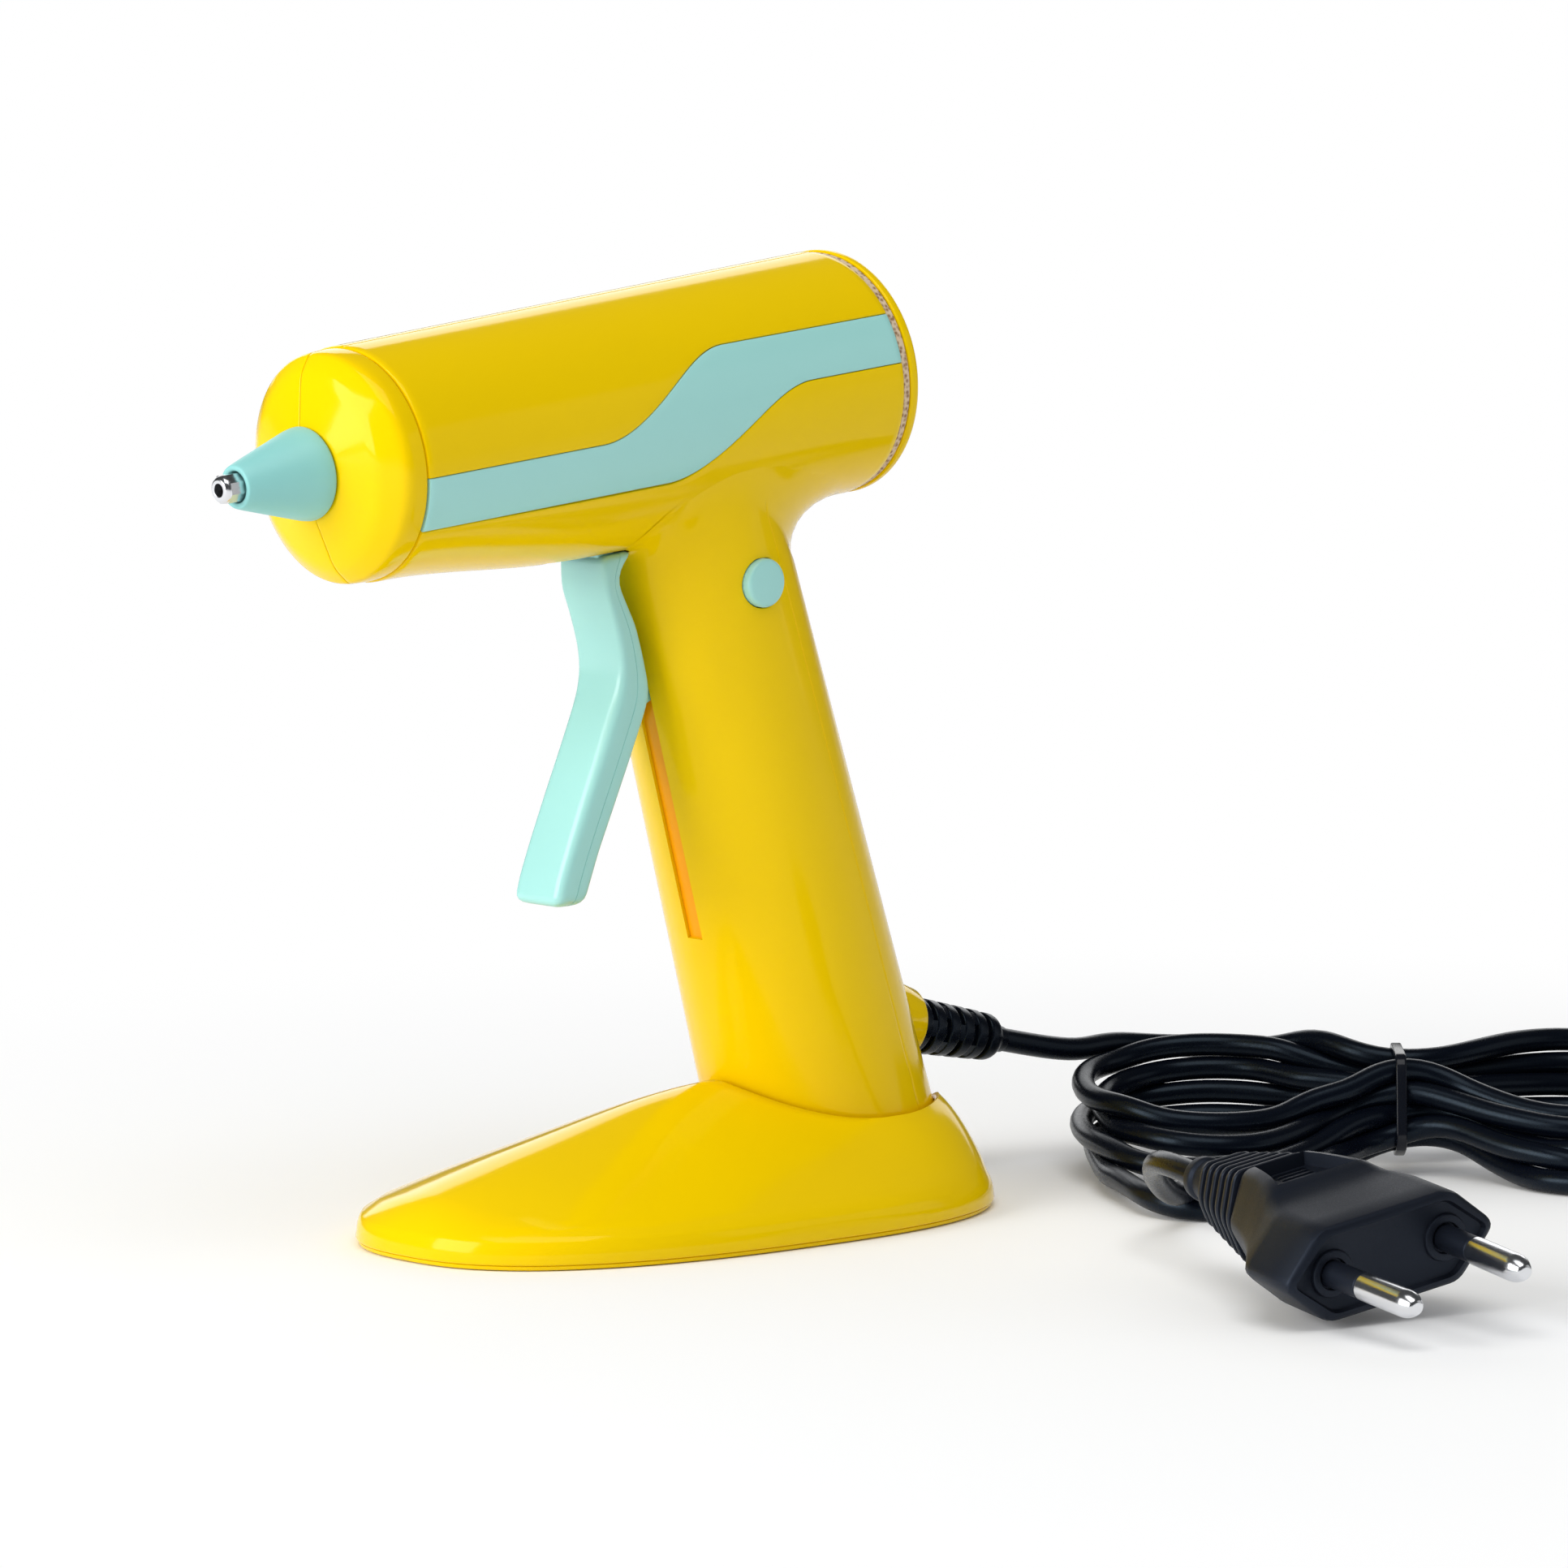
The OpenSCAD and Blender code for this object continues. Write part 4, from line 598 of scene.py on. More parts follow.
# ---- side bands ----
# Two strips of mint plastic, one laid flush in the bed on each side of the barrel. Each
# rises in a soft step towards the rear.
mint = moulded("mint_plastic", (0.375, 0.735, 0.695), (0.362, 0.718, 0.678), (0.2, 0.27), bump=0.008)
for side, name in ((-1, "band_left"), (1, "band_right")):
    rings = []
    for x in [0.1, 0.25] + stations[1:-1] + [SHELL_END - 0.25, SHELL_END - 0.1]:
        r = barrel_r(x) - (0.12 if x in (0.1, SHELL_END - 0.1) else 0)
        high, low = asin(band_top(x) / r), asin(band_foot(x) / r)
        spots = [(high, -0.85), (high, -0.14), (high - 0.004, -0.04), (high - 0.012, 0)]
        spots += [(high - 0.012 + (low - high + 0.024) * k / 12, 0) for k in range(1, 13)]
        spots += [(low + 0.004, -0.04), (low, -0.14), (low, -0.85)]
        rings.append([(x, side * cos(a) * (r + d), sin(a) * (r + d)) for a, d in spots])
    bm = bmesh.new()
    skin(bm, rings, ends=(True, True))
    piece(name + "_strip", bm, mint, "gun", place_gun, [name], sharp=50)

# ---- handle ----
# The handle of the same yellow halves: a slim cone that flows into the barrel with a fillet.
# It has a slot down its front, a round hole for the button, mould lines down its rear and its
# left side, and a boss at the foot for the lead.
SLOT_FROM, SLOT_TO, HANDLE_TO = 31, 77, 112
BUTTON_AT, HOLE_R = 26.3, 3.68
PIN_FROM, PIN_TO, PIN_SWELL = 35, 38, 0.55
FILLET, FRONT_FILLET, REAR_MORE = 8.5, 2.2, 2.5
HANDLE_AT, HANDLE_LEAN = 58, radians(-12.2)
place_handle = place_gun @ Matrix.Translation((HANDLE_AT, 0, 0)) @ Matrix.Rotation(HANDLE_LEAN, 4, "Y")
to_gun = place_gun.inverted() @ place_handle


def handle_r(s):
    return 13.8 + 0.0255 * s


def handle_point(turn, s, y):
    # a point of the skin and the way it faces, by its turn or, where y is given, by y
    r = handle_r(s)
    if y is not None:
        turn = pi - asin(y / r)
    # the skin swells a little over the ends of the trigger's pin
    near_pin = step_up(s, PIN_FROM - 8, PIN_FROM) * (1 - step_up(s, PIN_TO, PIN_TO + 8))
    r += PIN_SWELL * near_pin * step_up(-cos(turn), 0.5, 0.8) * step_up(abs(sin(turn)), 0.2, 0.45)
    return Vector((r * cos(turn), r * sin(turn), -s)), Vector((cos(turn), sin(turn), 0))


def off_barrel(q):
    g = to_gun @ q
    out = hypot(g.y, g.z)
    return out - barrel_r(g.x) - keel(g.x, -g.z / out) * (g.z / out) ** 2


# the skin's columns: straight ones beside the slot, then turned ones, closer at the mould lines
columns = [(None, y) for y in (-4.2, -3, -2.1, -1.55, -1.1, 1.1, 1.55, 2.1, 3, 4.2)]
for k in range(1, 58):
    columns.append((pi + 0.31 + (2 * pi - 0.62) * k / 58, None))
split = 2 * pi - radians(71)
columns = [c for c in columns if c[0] is None or (abs(c[0] - split) > 0.04 and abs(c[0] - 2 * pi) > 0.04)]
for mould_line in (split, 2 * pi):
    columns += [(mould_line + 0.013 * k, None) for k in (-2, -1, 0, 1, 2)]
columns.sort(key=lambda c: c[0] if c[0] is not None else pi - asin(c[1] / 14))
fixed = [SLOT_FROM + (SLOT_TO - SLOT_FROM) * k / 10 for k in range(11)]
fixed += [SLOT_TO + (HANDLE_TO - SLOT_TO) * k / 8 for k in range(1, 9)]


def last_true(low, high, holds, times=40):
    # halves the span until it closes on the last value for which holds() is true
    for _ in range(times):
        mid = (low + high) / 2
        if holds(mid):
            low = mid
        else:
            high = mid
    return low


lines = []
for turn, y in columns:
    def spot(s):
        return handle_point(turn, s, y)

    low = last_true(0, 40, lambda s: off_barrel(spot(s)[0]) < 0)
    start, out_dir = spot(low)
    start_gun = to_gun @ start
    normal = Vector((0, start_gun.y, start_gun.z)).normalized()
    normal = to_gun.to_3x3().inverted() @ normal
    along = (out_dir - normal * out_dir.dot(normal)).normalized()
    down = Vector((0, 0, -1))
    wedge = acos(max(-1, min(1, down.dot(along))))
    angle = turn if turn is not None else pi - asin(y / 14)
    front = max(0, cos(angle - pi)) ** 6
    behind = max(0, cos(angle)) ** 2
    size = FILLET * (1 - front) + FRONT_FILLET * front + REAR_MORE * behind
    cut = size / np.tan(wedge / 2)
    reach = max(cut, 0.9)
    end = start + along * reach
    for _ in range(3):
        g = to_gun @ end
        over = to_gun.to_3x3().inverted() @ Vector((0, g.y, g.z)).normalized()
        end -= over * off_barrel(end)
    along = (along - over * along.dot(over)).normalized()
    first, last_pull = start + down * reach * 0.36, end - along * reach * 0.64
    column = []
    for k in range(9):
        t = 1 - k / 8
        q = (start + down * reach) * (1 - t) ** 3 + first * 3 * t * (1 - t) ** 2
        q += last_pull * 3 * t ** 2 * (1 - t) + end * t ** 3
        column.append(q - over * 0.06 * t ** 5)
    s0 = low + reach
    groove = -0.16 if turn in (split, 2 * pi) else 0
    head = max(SLOT_FROM, s0 + 2)
    for k in range(1, 4):
        column.append(spot(s0 + (head - s0) * k / 4)[0])
    for s in fixed:
        lower = head + (s - SLOT_FROM) * (SLOT_TO - head) / (SLOT_TO - SLOT_FROM)
        column.append(spot(lower if s < SLOT_TO else s)[0])
    # the foot of the handle ends level with the top of the stand's plate
    foot_a, foot_b = place_handle @ spot(HANDLE_TO)[0], place_handle @ spot(HANDLE_TO + 16)[0]
    last = HANDLE_TO + 16 * (foot_a.z - 4.6) / (foot_a.z - foot_b.z)
    for s in ((HANDLE_TO + last) / 2, last - 0.7):
        column.append(spot(s)[0])
    q, out_dir = spot(last)
    column.append(q - out_dir * 0.7)
    if groove:
        column = [q if i < 7 or i > len(column) - 3 else q + out_dir * groove for i, q in enumerate(column)]
    lines.append(column)
bm = bmesh.new()
rings = [[line[i] for line in lines] for i in range(len(lines[0]))]
skin(bm, rings, ends=(False, True))
slot = [f for f in bm.faces if len(f.verts) == 4
    and -SLOT_TO - 0.2 < f.calc_center_median().z < -SLOT_FROM + 0.1
    and f.calc_center_median().x < 0 and abs(f.calc_center_median().y) < 1.4]
fork = [f for f in bm.faces if len(f.verts) == 4 and f.calc_center_median().x < 0
    and abs(f.calc_center_median().y) < 4.1 and (to_gun @ f.calc_center_median()).z > -19.5
    and (to_gun @ f.calc_center_median()).x < 47.2]
bmesh.ops.delete(bm, geom=slot + fork, context="FACES")
rim = [e for e in bm.edges if e.is_boundary and all(
    v.co.x < 0 and -SLOT_TO - 0.4 < v.co.z < -SLOT_FROM + 0.2 and abs(v.co.y) < 1.7 for v in e.verts)]
lip = bmesh.ops.extrude_edge_only(bm, edges=rim)["geom"]
for v in [g for g in lip if isinstance(g, bmesh.types.BMVert)]:
    v.co.x += 2.0
# the button's hole: a patch of the skin gives way to a ring of points
near = [f for f in bm.faces if f.calc_center_median().y < 0 and len(f.verts) == 4
    and hypot(f.calc_center_median().x, f.calc_center_median().z + BUTTON_AT) < 5.0]
bmesh.ops.delete(bm, geom=near, context="FACES")
rim = [e for e in bm.edges if e.is_boundary and all(
    v.co.y < -5 and hypot(v.co.x, v.co.z + BUTTON_AT) < 8 for v in e.verts)]
ring = []
for rad, sink in ((4.1, 0.0), (HOLE_R + 0.1, 0.02), (HOLE_R, 0.15), (HOLE_R, 2.0)):
    row = []
    for k in range(32):
        x, s = rad * cos(2 * pi * k / 32), BUTTON_AT + rad * sin(2 * pi * k / 32)
        row.append(bm.verts.new((x, -sqrt(handle_r(s) ** 2 - x ** 2) + sink, -s)))
    ring.append(row)
loop = [bm.edges.new((ring[0][k], ring[0][(k + 1) % 32])) for k in range(32)]
for a, b in zip(ring, ring[1:]):
    for k in range(32):
        bm.faces.new((a[k], a[(k + 1) % 32], b[(k + 1) % 32], b[k]))
bmesh.ops.bridge_loops(bm, edges=rim + loop)
piece("handle_shell", bm, yellow, "gun", place_handle, sharp=38)
# a warm-coloured rib closes the slot from within, below the trigger's web
rib_mat = moulded("slot_rib", (1.0, 0.42, 0.0006), (0.96, 0.38, 0.0005), (0.3, 0.4), bump=0.02,
    level=0.2)
bm = bmesh.new()
rings = []
for s in (38.5, 43.5, 56, 66, 76.6, 78.5):
    x = -(handle_r(s) - 0.6) + (2.2 if s == 38.5 else 0)
    rings.append([(x + 0.12, -2.0, -s), (x, -1.6, -s), (x, 1.6, -s), (x + 0.12, 2.0, -s), (x + 1.2, 2.0, -s),
        (x + 1.2, -2.0, -s)])
skin(bm, rings, ends=(True, True))
piece("slot_rib", bm, rib_mat, "gun", place_handle)
# the boss flows out of the handle's rear
BOSS_END = -4.2
inward = place_handle.inverted() @ place_outlet


def boss_r(x):
    return 4.7 - 0.178 * x


rings = [[] for _ in range(12)]
for k in range(64):
    a = 2 * pi * k / 64

    def boss(x, r):
        return inward @ Vector((x, r * cos(a), r * sin(a)))

    def buried(x):
        q = boss(x, boss_r(x))
        return hypot(q.x, q.y) < handle_r(-q.z)

    low = last_true(-14, 0, buried)
    start = boss(low, boss_r(low))
    out_dir = (boss(low, boss_r(low) + 3) - start).normalized()
    normal = Vector((start.x, start.y, 0)).normalized()
    along = (out_dir - normal * out_dir.dot(normal)).normalized()
    first = min(low + 1.1, BOSS_END - 0.6)
    tip = boss(first, boss_r(first))
    end = start + along * 1.1
    for i in range(6):
        t = 1 - i / 5
        q = tip * (1 - t) ** 2 + start * 2 * t * (1 - t) + end * t ** 2
        slip = hypot(q.x, q.y) - handle_r(-q.z) + 0.05
        rings[i].append(q - Vector((q.x, q.y, 0)).normalized() * slip * t ** 4)
    middle = (first + BOSS_END - 0.6) / 2
    mouth = [(middle, boss_r(middle)), (BOSS_END - 0.55, boss_r(BOSS_END - 0.55)), (BOSS_END - 0.2, 5.35),
        (BOSS_END, 5.1), (BOSS_END, 4.35), (BOSS_END - 3, 4.35)]
    for i, (x, r) in enumerate(mouth):
        rings[6 + i].append(boss(x, r))
bm = bmesh.new()
skin(bm, rings)
piece("outlet_boss", bm, yellow, "gun", place_handle, sharp=45)

# ---- nose cap ----
# Two halves of yellow plastic with a fine upright seam between them: a straight band, a soft
# shoulder and a low cone. Their inner collar slips into the barrel's front end.
nose = eased([(3.2, 13.2, 0), (3.2, 14.5, 0.2), (-0.02, 14.5, 0), (-0.02, 16.2, 0), (-0.35, 16.45, 0.3),
    (-3.5, 16.4, 1.4), (-6.2, 12.7, 1.1), (-8.0, 6.5, 0.3), (-7.9, 5.5, 0.3), (-5.4, 5.4, 0),
    (-4.4, 10, 0)], 6)
SEAM_TURN = radians(-8.5)
for side, name in ((-1, "nose_left"), (1, "nose_right")):
    bm = bmesh.new()
    tilt = asin(0.05 / 15)
    turned(bm, nose, 72, arc=(pi - 2 * tilt) * side * -1, closed=True)
    bmesh.ops.rotate(bm, verts=bm.verts, cent=(0, 0, 0), matrix=Matrix.Rotation(-side * tilt, 3, "X"))
    # the cone is a little taller than it is wide
    for v in bm.verts:
        r = hypot(v.co.y, v.co.z)
        v.co.z *= 1 + 0.06 * step_up(-v.co.x, 2.5, 5.5) * step_up(r, 6.8, 12)
    caps = [e for e in bm.edges if e.is_boundary]
    bmesh.ops.holes_fill(bm, edges=caps, sides=0)
    bmesh.ops.recalc_face_normals(bm, faces=bm.faces)
    flats = [f for f in bm.faces if len(f.verts) > 20]
    rim = [e for f in flats for e in f.edges if all(
        hypot(v.co.y, v.co.z) > 6.3 and v.co.x < -0.01 for v in e.verts)]
    bmesh.ops.bevel(bm, geom=rim, offset=0.16, segments=2, profile=0.5, affect="EDGES", material=-1)
    bmesh.ops.rotate(bm, verts=bm.verts, cent=(0, 0, 0), matrix=Matrix.Rotation(SEAM_TURN, 3, "X"))
    piece(name + "_half", bm, yellow, "gun", place_gun, [name], sharp=36)

# ---- nozzle ----
# A sleeve of soft mint silicone with a rounded mouth, held in the nose cap's hole, and in it
# the bright metal tip: a tube with eight flats and a fine hole.
mint_soft = moulded("mint_silicone", (0.28, 0.64, 0.62), (0.25, 0.60, 0.58), (0.38, 0.5), bump=0.06)
bm = bmesh.new()
turned(bm, eased([(-5.9, 4.9, 0), (-5.9, 5.4, 0), (-7.9, 5.5, 0.2), (-8.15, 6.7, 0.8), (-9.6, 6.5, 1.6),
    (-19.7, 3.5, 1.4), (-21.2, 3.0, 0.8), (-21.1, 2.25, 0.3), (-19, 2.25, 0)], 6), 80)
piece("nozzle_cover", bm, mint_soft, "gun", place_gun, ["nozzle_sleeve"], sharp=60)
bm = bmesh.new()
turned(bm, eased([(-3.8, 3.3, 0), (-3.8, 4.4, 0), (-8.2, 4.4, 0), (-16.6, 2.0, 0.6), (-23.6, 1.95, 0.3),
    (-24.1, 1.5, 0.15), (-24.1, 0.95, 0.08), (-23.4, 0.88, 0), (-12, 0.88, 0), (-12, 0, 0)], 5), 64)
skin(bm, [[(x, r * cos(pi * k / 4 + 0.3), r * sin(pi * k / 4 + 0.3)) for k in range(8)]
    for x, r in ((-18.4, 1.9), (-18.5, 2.12), (-23.35, 2.12), (-23.6, 1.85))])
piece("nozzle_end", bm, chrome, "gun", place_gun, ["nozzle_tip"], sharp=40)

# ---- rear end ----
# A ring of mottled brown fibre in the groove behind the barrel, and the yellow plastic end
# plate with the stick's hole, whose collar sits inside the barrel.
fibre, nodes, links, shader = painted("fibre")
where = nodes.new("ShaderNodeTexCoord")
spots = nodes.new("ShaderNodeTexVoronoi")
value(spots, "Scale", 1500)
ramp = nodes.new("ShaderNodeValToRGB")
ramp.color_ramp.elements[0].color = (0.30, 0.16, 0.08, 1)
ramp.color_ramp.elements[0].position = 0.2
ramp.color_ramp.elements[1].color = (0.74, 0.58, 0.40, 1)
ramp.color_ramp.elements[1].position = 0.62
dent = nodes.new("ShaderNodeBump")
value(dent, "Strength", 0.5)
value(dent, "Distance", 0.0002)
value(shader, "Roughness", 0.85)
links.new(where.outputs["Object"], spots.inputs["Vector"])
links.new(spots.outputs["Distance"], ramp.inputs["Fac"])
links.new(ramp.outputs["Color"], shader.inputs["Base Color"])
links.new(spots.outputs["Distance"], dent.inputs["Height"])
links.new(dent.outputs["Normal"], shader.inputs["Normal"])
bm = bmesh.new()
turned(bm, [(90.82, 14.1), (90.82, 17.45), (91.0, 17.62), (91.95, 17.62), (92.18, 17.45), (92.18, 14.1)], 160)
piece("fibre_ring", bm, fibre, "gun", place_gun, ["gasket_ring"])
bm = bmesh.new()
turned(bm, eased([(86.4, 13.9, 0), (86.4, 15.6, 0.3), (91.3, 15.6, 0), (92.2, 15.6, 0), (92.2, 17.7, 0),
    (92.4, 17.9, 0.15), (93.5, 17.9, 0.7), (94.4, 16.9, 0.6), (94.1, 15.8, 0.4), (94.05, 7.2, 0.4),
    (94.4, 6.6, 0.3), (94.4, 5.5, 0.3), (92.8, 3.85, 0.3), (62, 3.8, 0), (62, 5.2, 0), (90.4, 5.2, 0),
    (90.4, 13.9, 0), (86.4, 13.9, 0)], 5), 128)
piece("rear_plate", bm, yellow, "gun", place_gun, ["rear_cap"], sharp=40)

# ---- button ----
# A round push button of mint plastic with a soft edge. It slides in the hole on the handle's
# left and presses the switch behind it.
bm = bmesh.new()
BUTTON_R = HOLE_R - 0.13
turned(bm, eased([(-3.4, 0, 0), (-3.4, BUTTON_R, 0), (0.95, BUTTON_R, 0.75), (1.05, 0, 0)], 6), 64)
face = -handle_r(BUTTON_AT)
place_button = (place_handle @ Matrix.Translation((0, face, -BUTTON_AT))
    @ Matrix.Rotation(radians(-90), 4, "Z"))
piece("push_button", bm, mint, "button", place_button, ["power_button"], sharp=50)

# ---- trigger ----
# A curved lever of mint plastic with rounded front corners, turning on a steel pin. Its web
# passes into the handle's slot, and its fork reaches up into the barrel to drive the feed.
LEVER_HALF = 5
TRIGGER_PIN = (54.5227, 0, -37.9875)
place_trigger = place_gun @ Matrix.Translation(TRIGGER_PIN)
ahead = [(-12.9, 18.6), (-12.7, 13.6), (-11.6, 9.8), (-10.6, 4.6), (-10.6, 1.6), (-11.4, -1.2), (-12.9, -4.1),
    (-15.8, -9.4), (-19.2, -15.4), (-22.4, -21.3), (-25.0, -26.4), (-25.7, -28.4)]
behind = [(-6.9, 18.8), (-9.5, 16.6), (-10.2, 14.6), (-9.2, 12.2), (-7.3, 8), (-6.3, 3.6), (-5.6, 0),
    (-5.5, -2.4), (-6.8, -5.2), (-9.7, -10.4), (-13.4, -16.8), (-17.2, -23.3), (-20, -28.9)]


def flowing(points, n):
    p = spaced(np.array([(x, 0, z) for x, z in points], float), 0.5)
    for _ in range(6):
        p[1:-1] = 0.5 * p[1:-1] + 0.25 * (p[:-2] + p[2:])
    at = np.linspace(0, len(p) - 1, n)
    return [Vector((np.interp(t, range(len(p)), p[:, 0]), np.interp(t, range(len(p)), p[:, 2]))) for t in at]


def lever_ring(a, b, trim=0.0):
    depth = (b - a).length
    way = (b - a) / depth
    ra, rb = min(2.3, depth * 0.45), min(1.0, depth * 0.3)
    half = LEVER_HALF - trim
    # a fine mould line runs down each side
    flat = eased([(trim, 0, 0), (trim, half, ra), (depth * 0.58, half, 0), (depth * 0.585, half - 0.09, 0),
        (depth * 0.6, half - 0.09, 0), (depth * 0.605, half, 0), (depth - trim, half, rb),
        (depth - trim, 0, 0)], 5)
    ring = [(a.x + way.x * d, -y, a.y + way.y * d) for d, y in flat]
    return ring + [(x, -y, z) for x, y, z in ring[-2:0:-1]]


face, rear = flowing(ahead, 48), flowing(behind, 48)
tail = ((face[-1] - face[-2]).normalized() + (rear[-1] - rear[-2]).normalized()) / 2
rings = [lever_ring(face[0], rear[0], 0.7)]
rings.append(lever_ring(face[0] + (face[1] - face[0]) * 0.4, rear[0] + (rear[1] - rear[0]) * 0.4, 0.15))
rings += [lever_ring(a, b) for a, b in zip(face[1:], rear[1:])]
for lift, trim in ((0.7, 0.12), (1.25, 0.45), (1.6, 0.95), (1.8, 1.6)):
    rings.append(lever_ring(face[-1] + tail * lift, rear[-1] + tail * lift, trim))
bm = bmesh.new()
skin(bm, rings, ends=(True, True))
piece("trigger_lever", bm, mint, "trigger", place_trigger, ["trigger"], sharp=60)
bm = bmesh.new()
web = [(-10, 3), (-6, 3.2), (-2, 3.1), (0, 3.2), (2, 2.6), (3.2, 0.6), (2.4, -2), (0, -3.2), (-7, -6),
    (-11, -7)]
fork = [(-12.2, 17.0), (-9.6, 17.0), (-9.2, 24), (-8.6, 30), (-14.3, 30), (-13.4, 24)]
for half, outline in ((1.1, web), (3.3, fork)):
    sheet = [[(x, y, z) for x, z in outline] for y in (-half, half)]
    skin(bm, sheet, ends=(True, True))
bmesh.ops.bevel(bm, geom=list(bm.edges), offset=0.2, segments=2, profile=0.5, affect="EDGES", material=-1)
piece("trigger_web", bm, mint, "trigger", place_trigger)

# ---- stand ----
# A heavy oval foot of yellow plastic: low at the front, rising to the socket that holds the
# handle, with a rounded edge all round. Screws hold its bottom plate, and a thin seam shows
# above it.
STAND_FRONT, STAND_REAR, STAND_HALF, FLARE = 45.0, 57.4, 32.2, 0.14
LENGTH, MIDDLE = (STAND_REAR + STAND_FRONT) / 2, (STAND_REAR - STAND_FRONT) / 2
ROUND = 0.78
EDGE_TOP = 4.7
SPINE_MIDDLE, SPINE_HALF = 3.5, 41.5
SOCKET_R = handle_r(116) + 0.42


def powered(v):
    return (1 if v >= 0 else -1) * abs(v) ** ROUND


def foot_edge(a, inset):
    bx, by = powered(cos(a)), powered(sin(a))
    return MIDDLE + (LENGTH - inset) * bx, (STAND_HALF - inset) * by * (1 + FLARE * bx)


def crest(x):
    return float(np.interp(x, [-38, -24, -9, 2, 12, 30, 45], [9.4, 13, 16, 18.2, 19.4, 19.4, 17]))


def dome_height(x, y):
    # the height of the dome over a point of the plan
    inset = 0.8
    low, high = 0.0, 0.985
    for _ in range(30):
        t = (low + high) / 2
        bx = x - MIDDLE * (1 - t) - SPINE_MIDDLE * t
        bx /= (LENGTH - inset) * (1 - t) + SPINE_HALF * t
        bx = max(-1, min(1, bx))
        side = sqrt(max(0, 1 - abs(bx) ** (2 / ROUND)))
        width = (STAND_HALF - inset) * side ** ROUND * (1 + FLARE * bx) * (1 - t)
        if width > abs(y):
            low = t
        else:
            high = t
    t = (low + high) / 2
    lean = 1.35 + 4 * max(0, bx) ** 4
    spine = SPINE_MIDDLE + SPINE_HALF * bx
    return EDGE_TOP + (crest(spine) - EDGE_TOP) * (1 - (1 - t) ** lean)


def in_socket(a, s):
    return place_handle @ Vector((SOCKET_R * cos(a), SOCKET_R * sin(a), -s))


EDGE_POINTS = 144
edge_rings = [(0.74, 0.75), (0.74, 0.3), (0.84, 0.1), (1.1, 0.0), (3.0, 0.25), (3.9, 0.55), (4.4, 0.85)]
# the rim of the socket is where the handle's outline leaves the dome
rim_line = []
for k in range(EDGE_POINTS):
    a = 2 * pi * k / EDGE_POINTS

    def clear(s):
        q = in_socket(a, s)
        return q.z > dome_height(q.x, q.y)

    low = last_true(90, 125, clear, 36)
    rim_line.append((in_socket(a, low), low))
rings = []
for z, inset in edge_rings:
    rings.append([(*foot_edge(2 * pi * k / EDGE_POINTS, inset), z) for k in range(EDGE_POINTS)])
STEPS = 22
surface = []
for j in range(1, STEPS + 1):
    w = j / STEPS
    ring = []
    for k in range(EDGE_POINTS):
        ex, ey = foot_edge(2 * pi * k / EDGE_POINTS, 1.3)
        q = rim_line[k][0]
        out = (q - (place_handle @ Vector((0, 0, -rim_line[k][1])))).normalized()
        q = q + Vector((out.x, out.y, 0)) * 0.7
        x, y = ex + (q.x - ex) * w, ey + (q.y - ey) * w
        ring.append([x, y, dome_height(x, y)])
    surface.append(ring)
grid = np.array(surface)
for _ in range(5):
    z = grid[:, :, 2]
    soft = z.copy()
    beside = (np.roll(z, 1, 1) + np.roll(z, -1, 1))[1:-1]
    soft[1:-1] = 0.4 * z[1:-1] + 0.15 * (z[:-2] + z[2:]) + 0.15 * beside
    grid[:, :, 2] = soft
rings += [[tuple(q) for q in ring] for ring in grid]
for sink, pull in ((0.12, 0.4), (0.45, 0.1), (1.0, 0.0)):
    ring = []
    for k in range(EDGE_POINTS):
        q, s = rim_line[k]
        out = (q - (place_handle @ Vector((0, 0, -s)))).normalized()
        ring.append((q.x + out.x * pull, q.y + out.y * pull, float(grid[-1, k, 2]) - sink))
    rings.append(ring)
rings.append([tuple(in_socket(2 * pi * k / EDGE_POINTS, rim_line[k][1] + 3)) for k in range(EDGE_POINTS)])
bm = bmesh.new()
skin(bm, rings)
piece("stand_foot", bm, yellow, "stand", Matrix(), ["stand_shell"], sharp=50)
bm = bmesh.new()
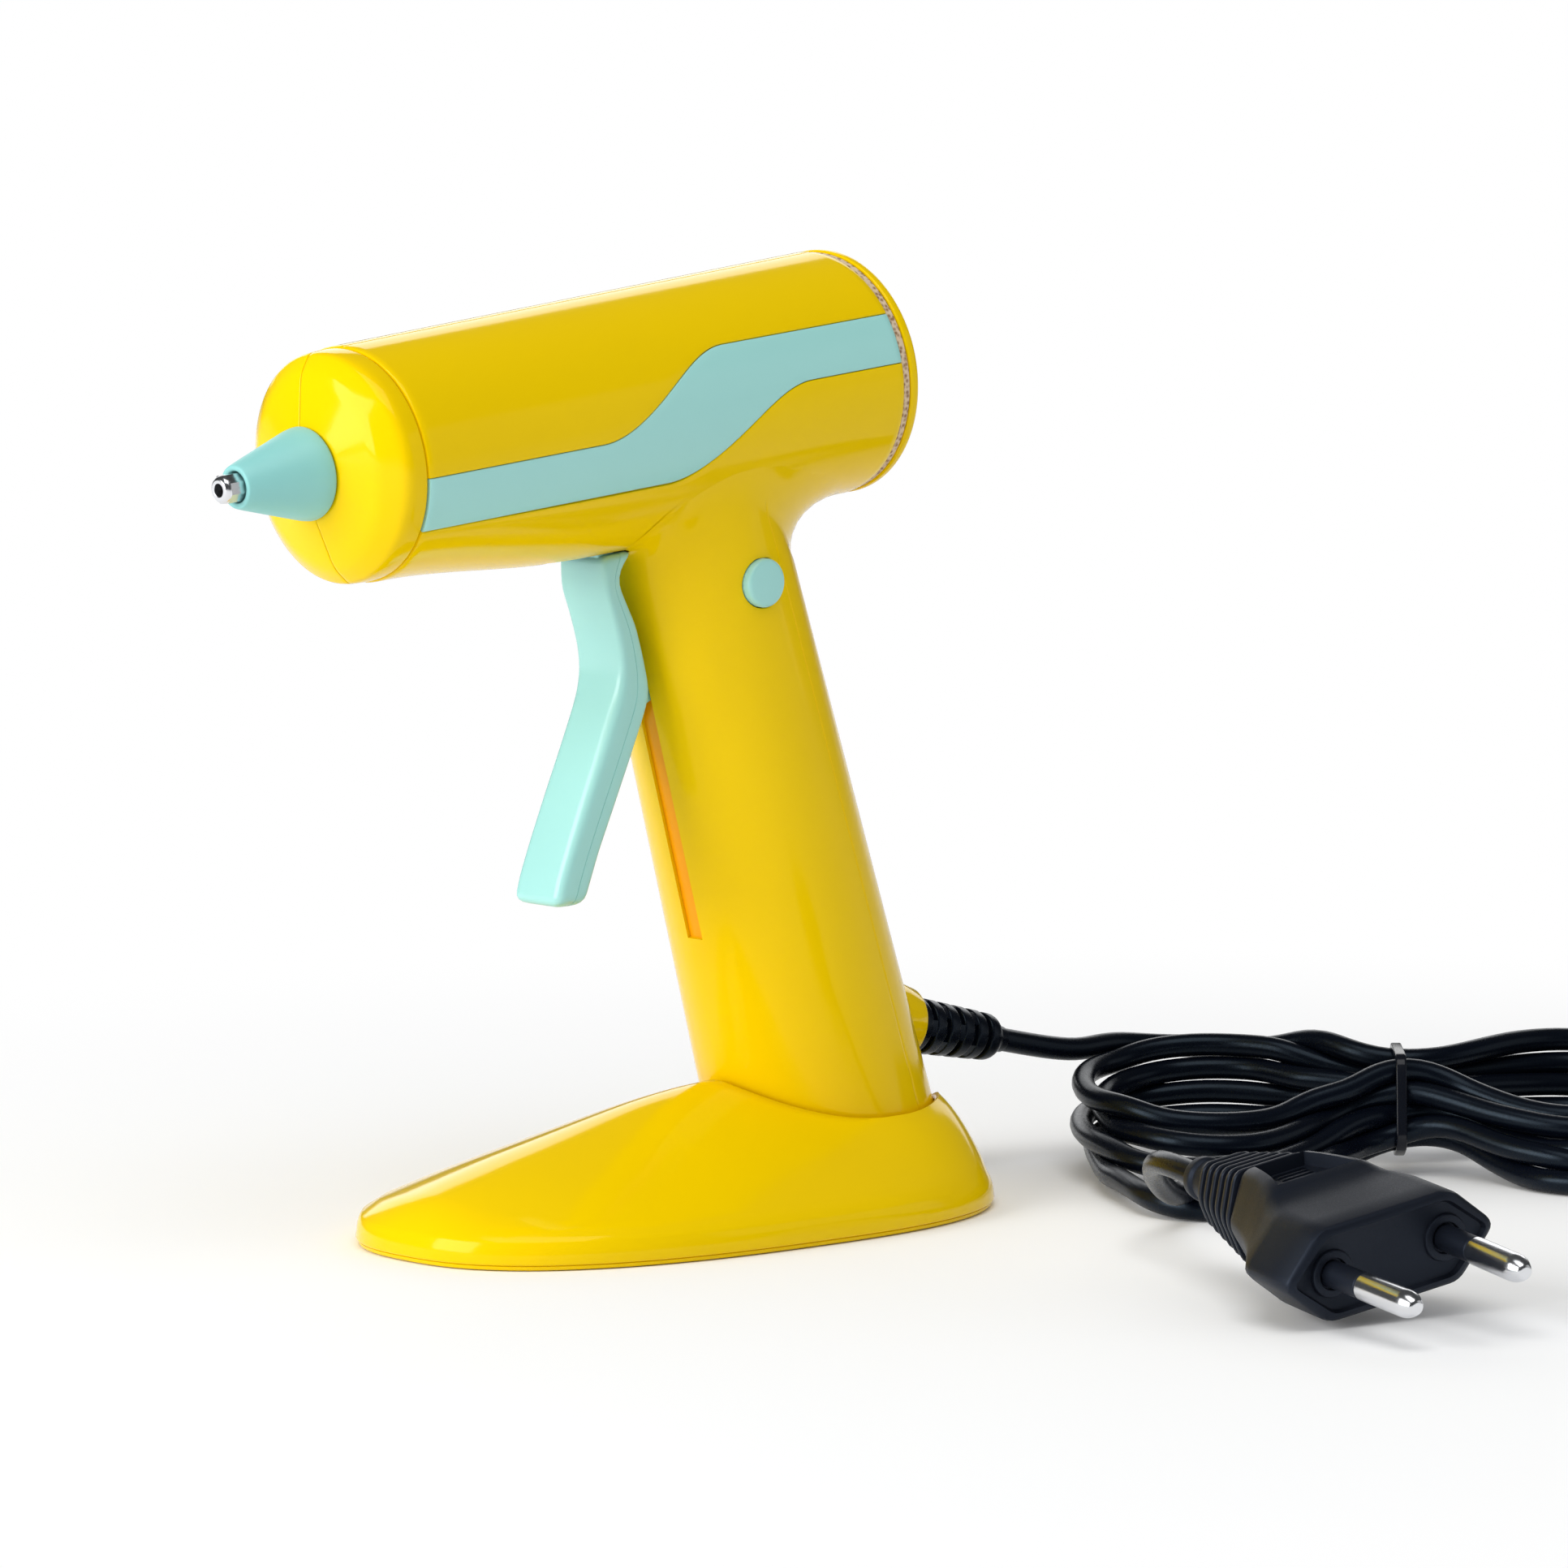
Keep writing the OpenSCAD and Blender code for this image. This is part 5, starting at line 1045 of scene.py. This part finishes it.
rings = [[(*foot_edge(2 * pi * k / EDGE_POINTS, inset), z) for k in range(EDGE_POINTS)]
    for z, inset in ((0.0, 0.9), (0.06, 0.55), (0.25, 0.35), (0.6, 0.33), (0.7, 0.45), (0.7, 0.8))]
skin(bm, rings, ends=(True, True))
piece("stand_base", bm, yellow, "stand", Matrix(), ["stand_plate"], sharp=50)

# ---- parts kept from the solid model ----
# What sits inside, and the screws: metal, ceramic, silicone and plastic parts, held by the
# housing and the stand. They keep their solids and get their own materials.
cast = moulded("cast_aluminium", (0.62, 0.62, 0.63), (0.5, 0.5, 0.52), (0.4, 0.6), bump=0.4, metal=1)
steel = moulded("spring_steel", (0.55, 0.55, 0.57), (0.45, 0.45, 0.47), (0.25, 0.4), metal=1)
ceramic = moulded("heater_ceramic", (0.82, 0.80, 0.76), (0.74, 0.72, 0.68), (0.6, 0.8), bump=0.3)
red = moulded("red_silicone", (0.55, 0.06, 0.03), (0.45, 0.04, 0.02), (0.45, 0.6), bump=0.2)
dark = moulded("black_plastic", (0.02, 0.02, 0.022), (0.012, 0.012, 0.014), (0.35, 0.5), bump=0.2)
white = moulded("white_plastic", (0.82, 0.82, 0.80), (0.76, 0.76, 0.74), (0.35, 0.5), bump=0.2)
brown_wire = moulded("brown_wire", (0.18, 0.06, 0.02), (0.14, 0.045, 0.015), (0.35, 0.45), bump=0.1)
blue_wire = moulded("blue_wire", (0.02, 0.08, 0.42), (0.015, 0.06, 0.34), (0.35, 0.45), bump=0.1)
kept = {"melt_chamber": cast, "heater": ceramic, "heater_clip": steel, "feed_tube": red, "tube_clamp": steel,
    "feed_carriage": dark, "grip_clip": steel, "drive_pin": steel, "pivot_pin": steel, "return_spring": steel,
    "switch_body": dark, "wire_switch": brown_wire, "wire_link": brown_wire, "wire_return": blue_wire,
    "cord_inner": cable, "cord_clamp": white, "clamp_screws": steel, "housing_screws": steel,
    "stand_screws": steel}
for name, mat in kept.items():
    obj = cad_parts[name]
    obj.data.materials.clear()
    obj.data.materials.append(mat)

bpy.context.view_layer.update()
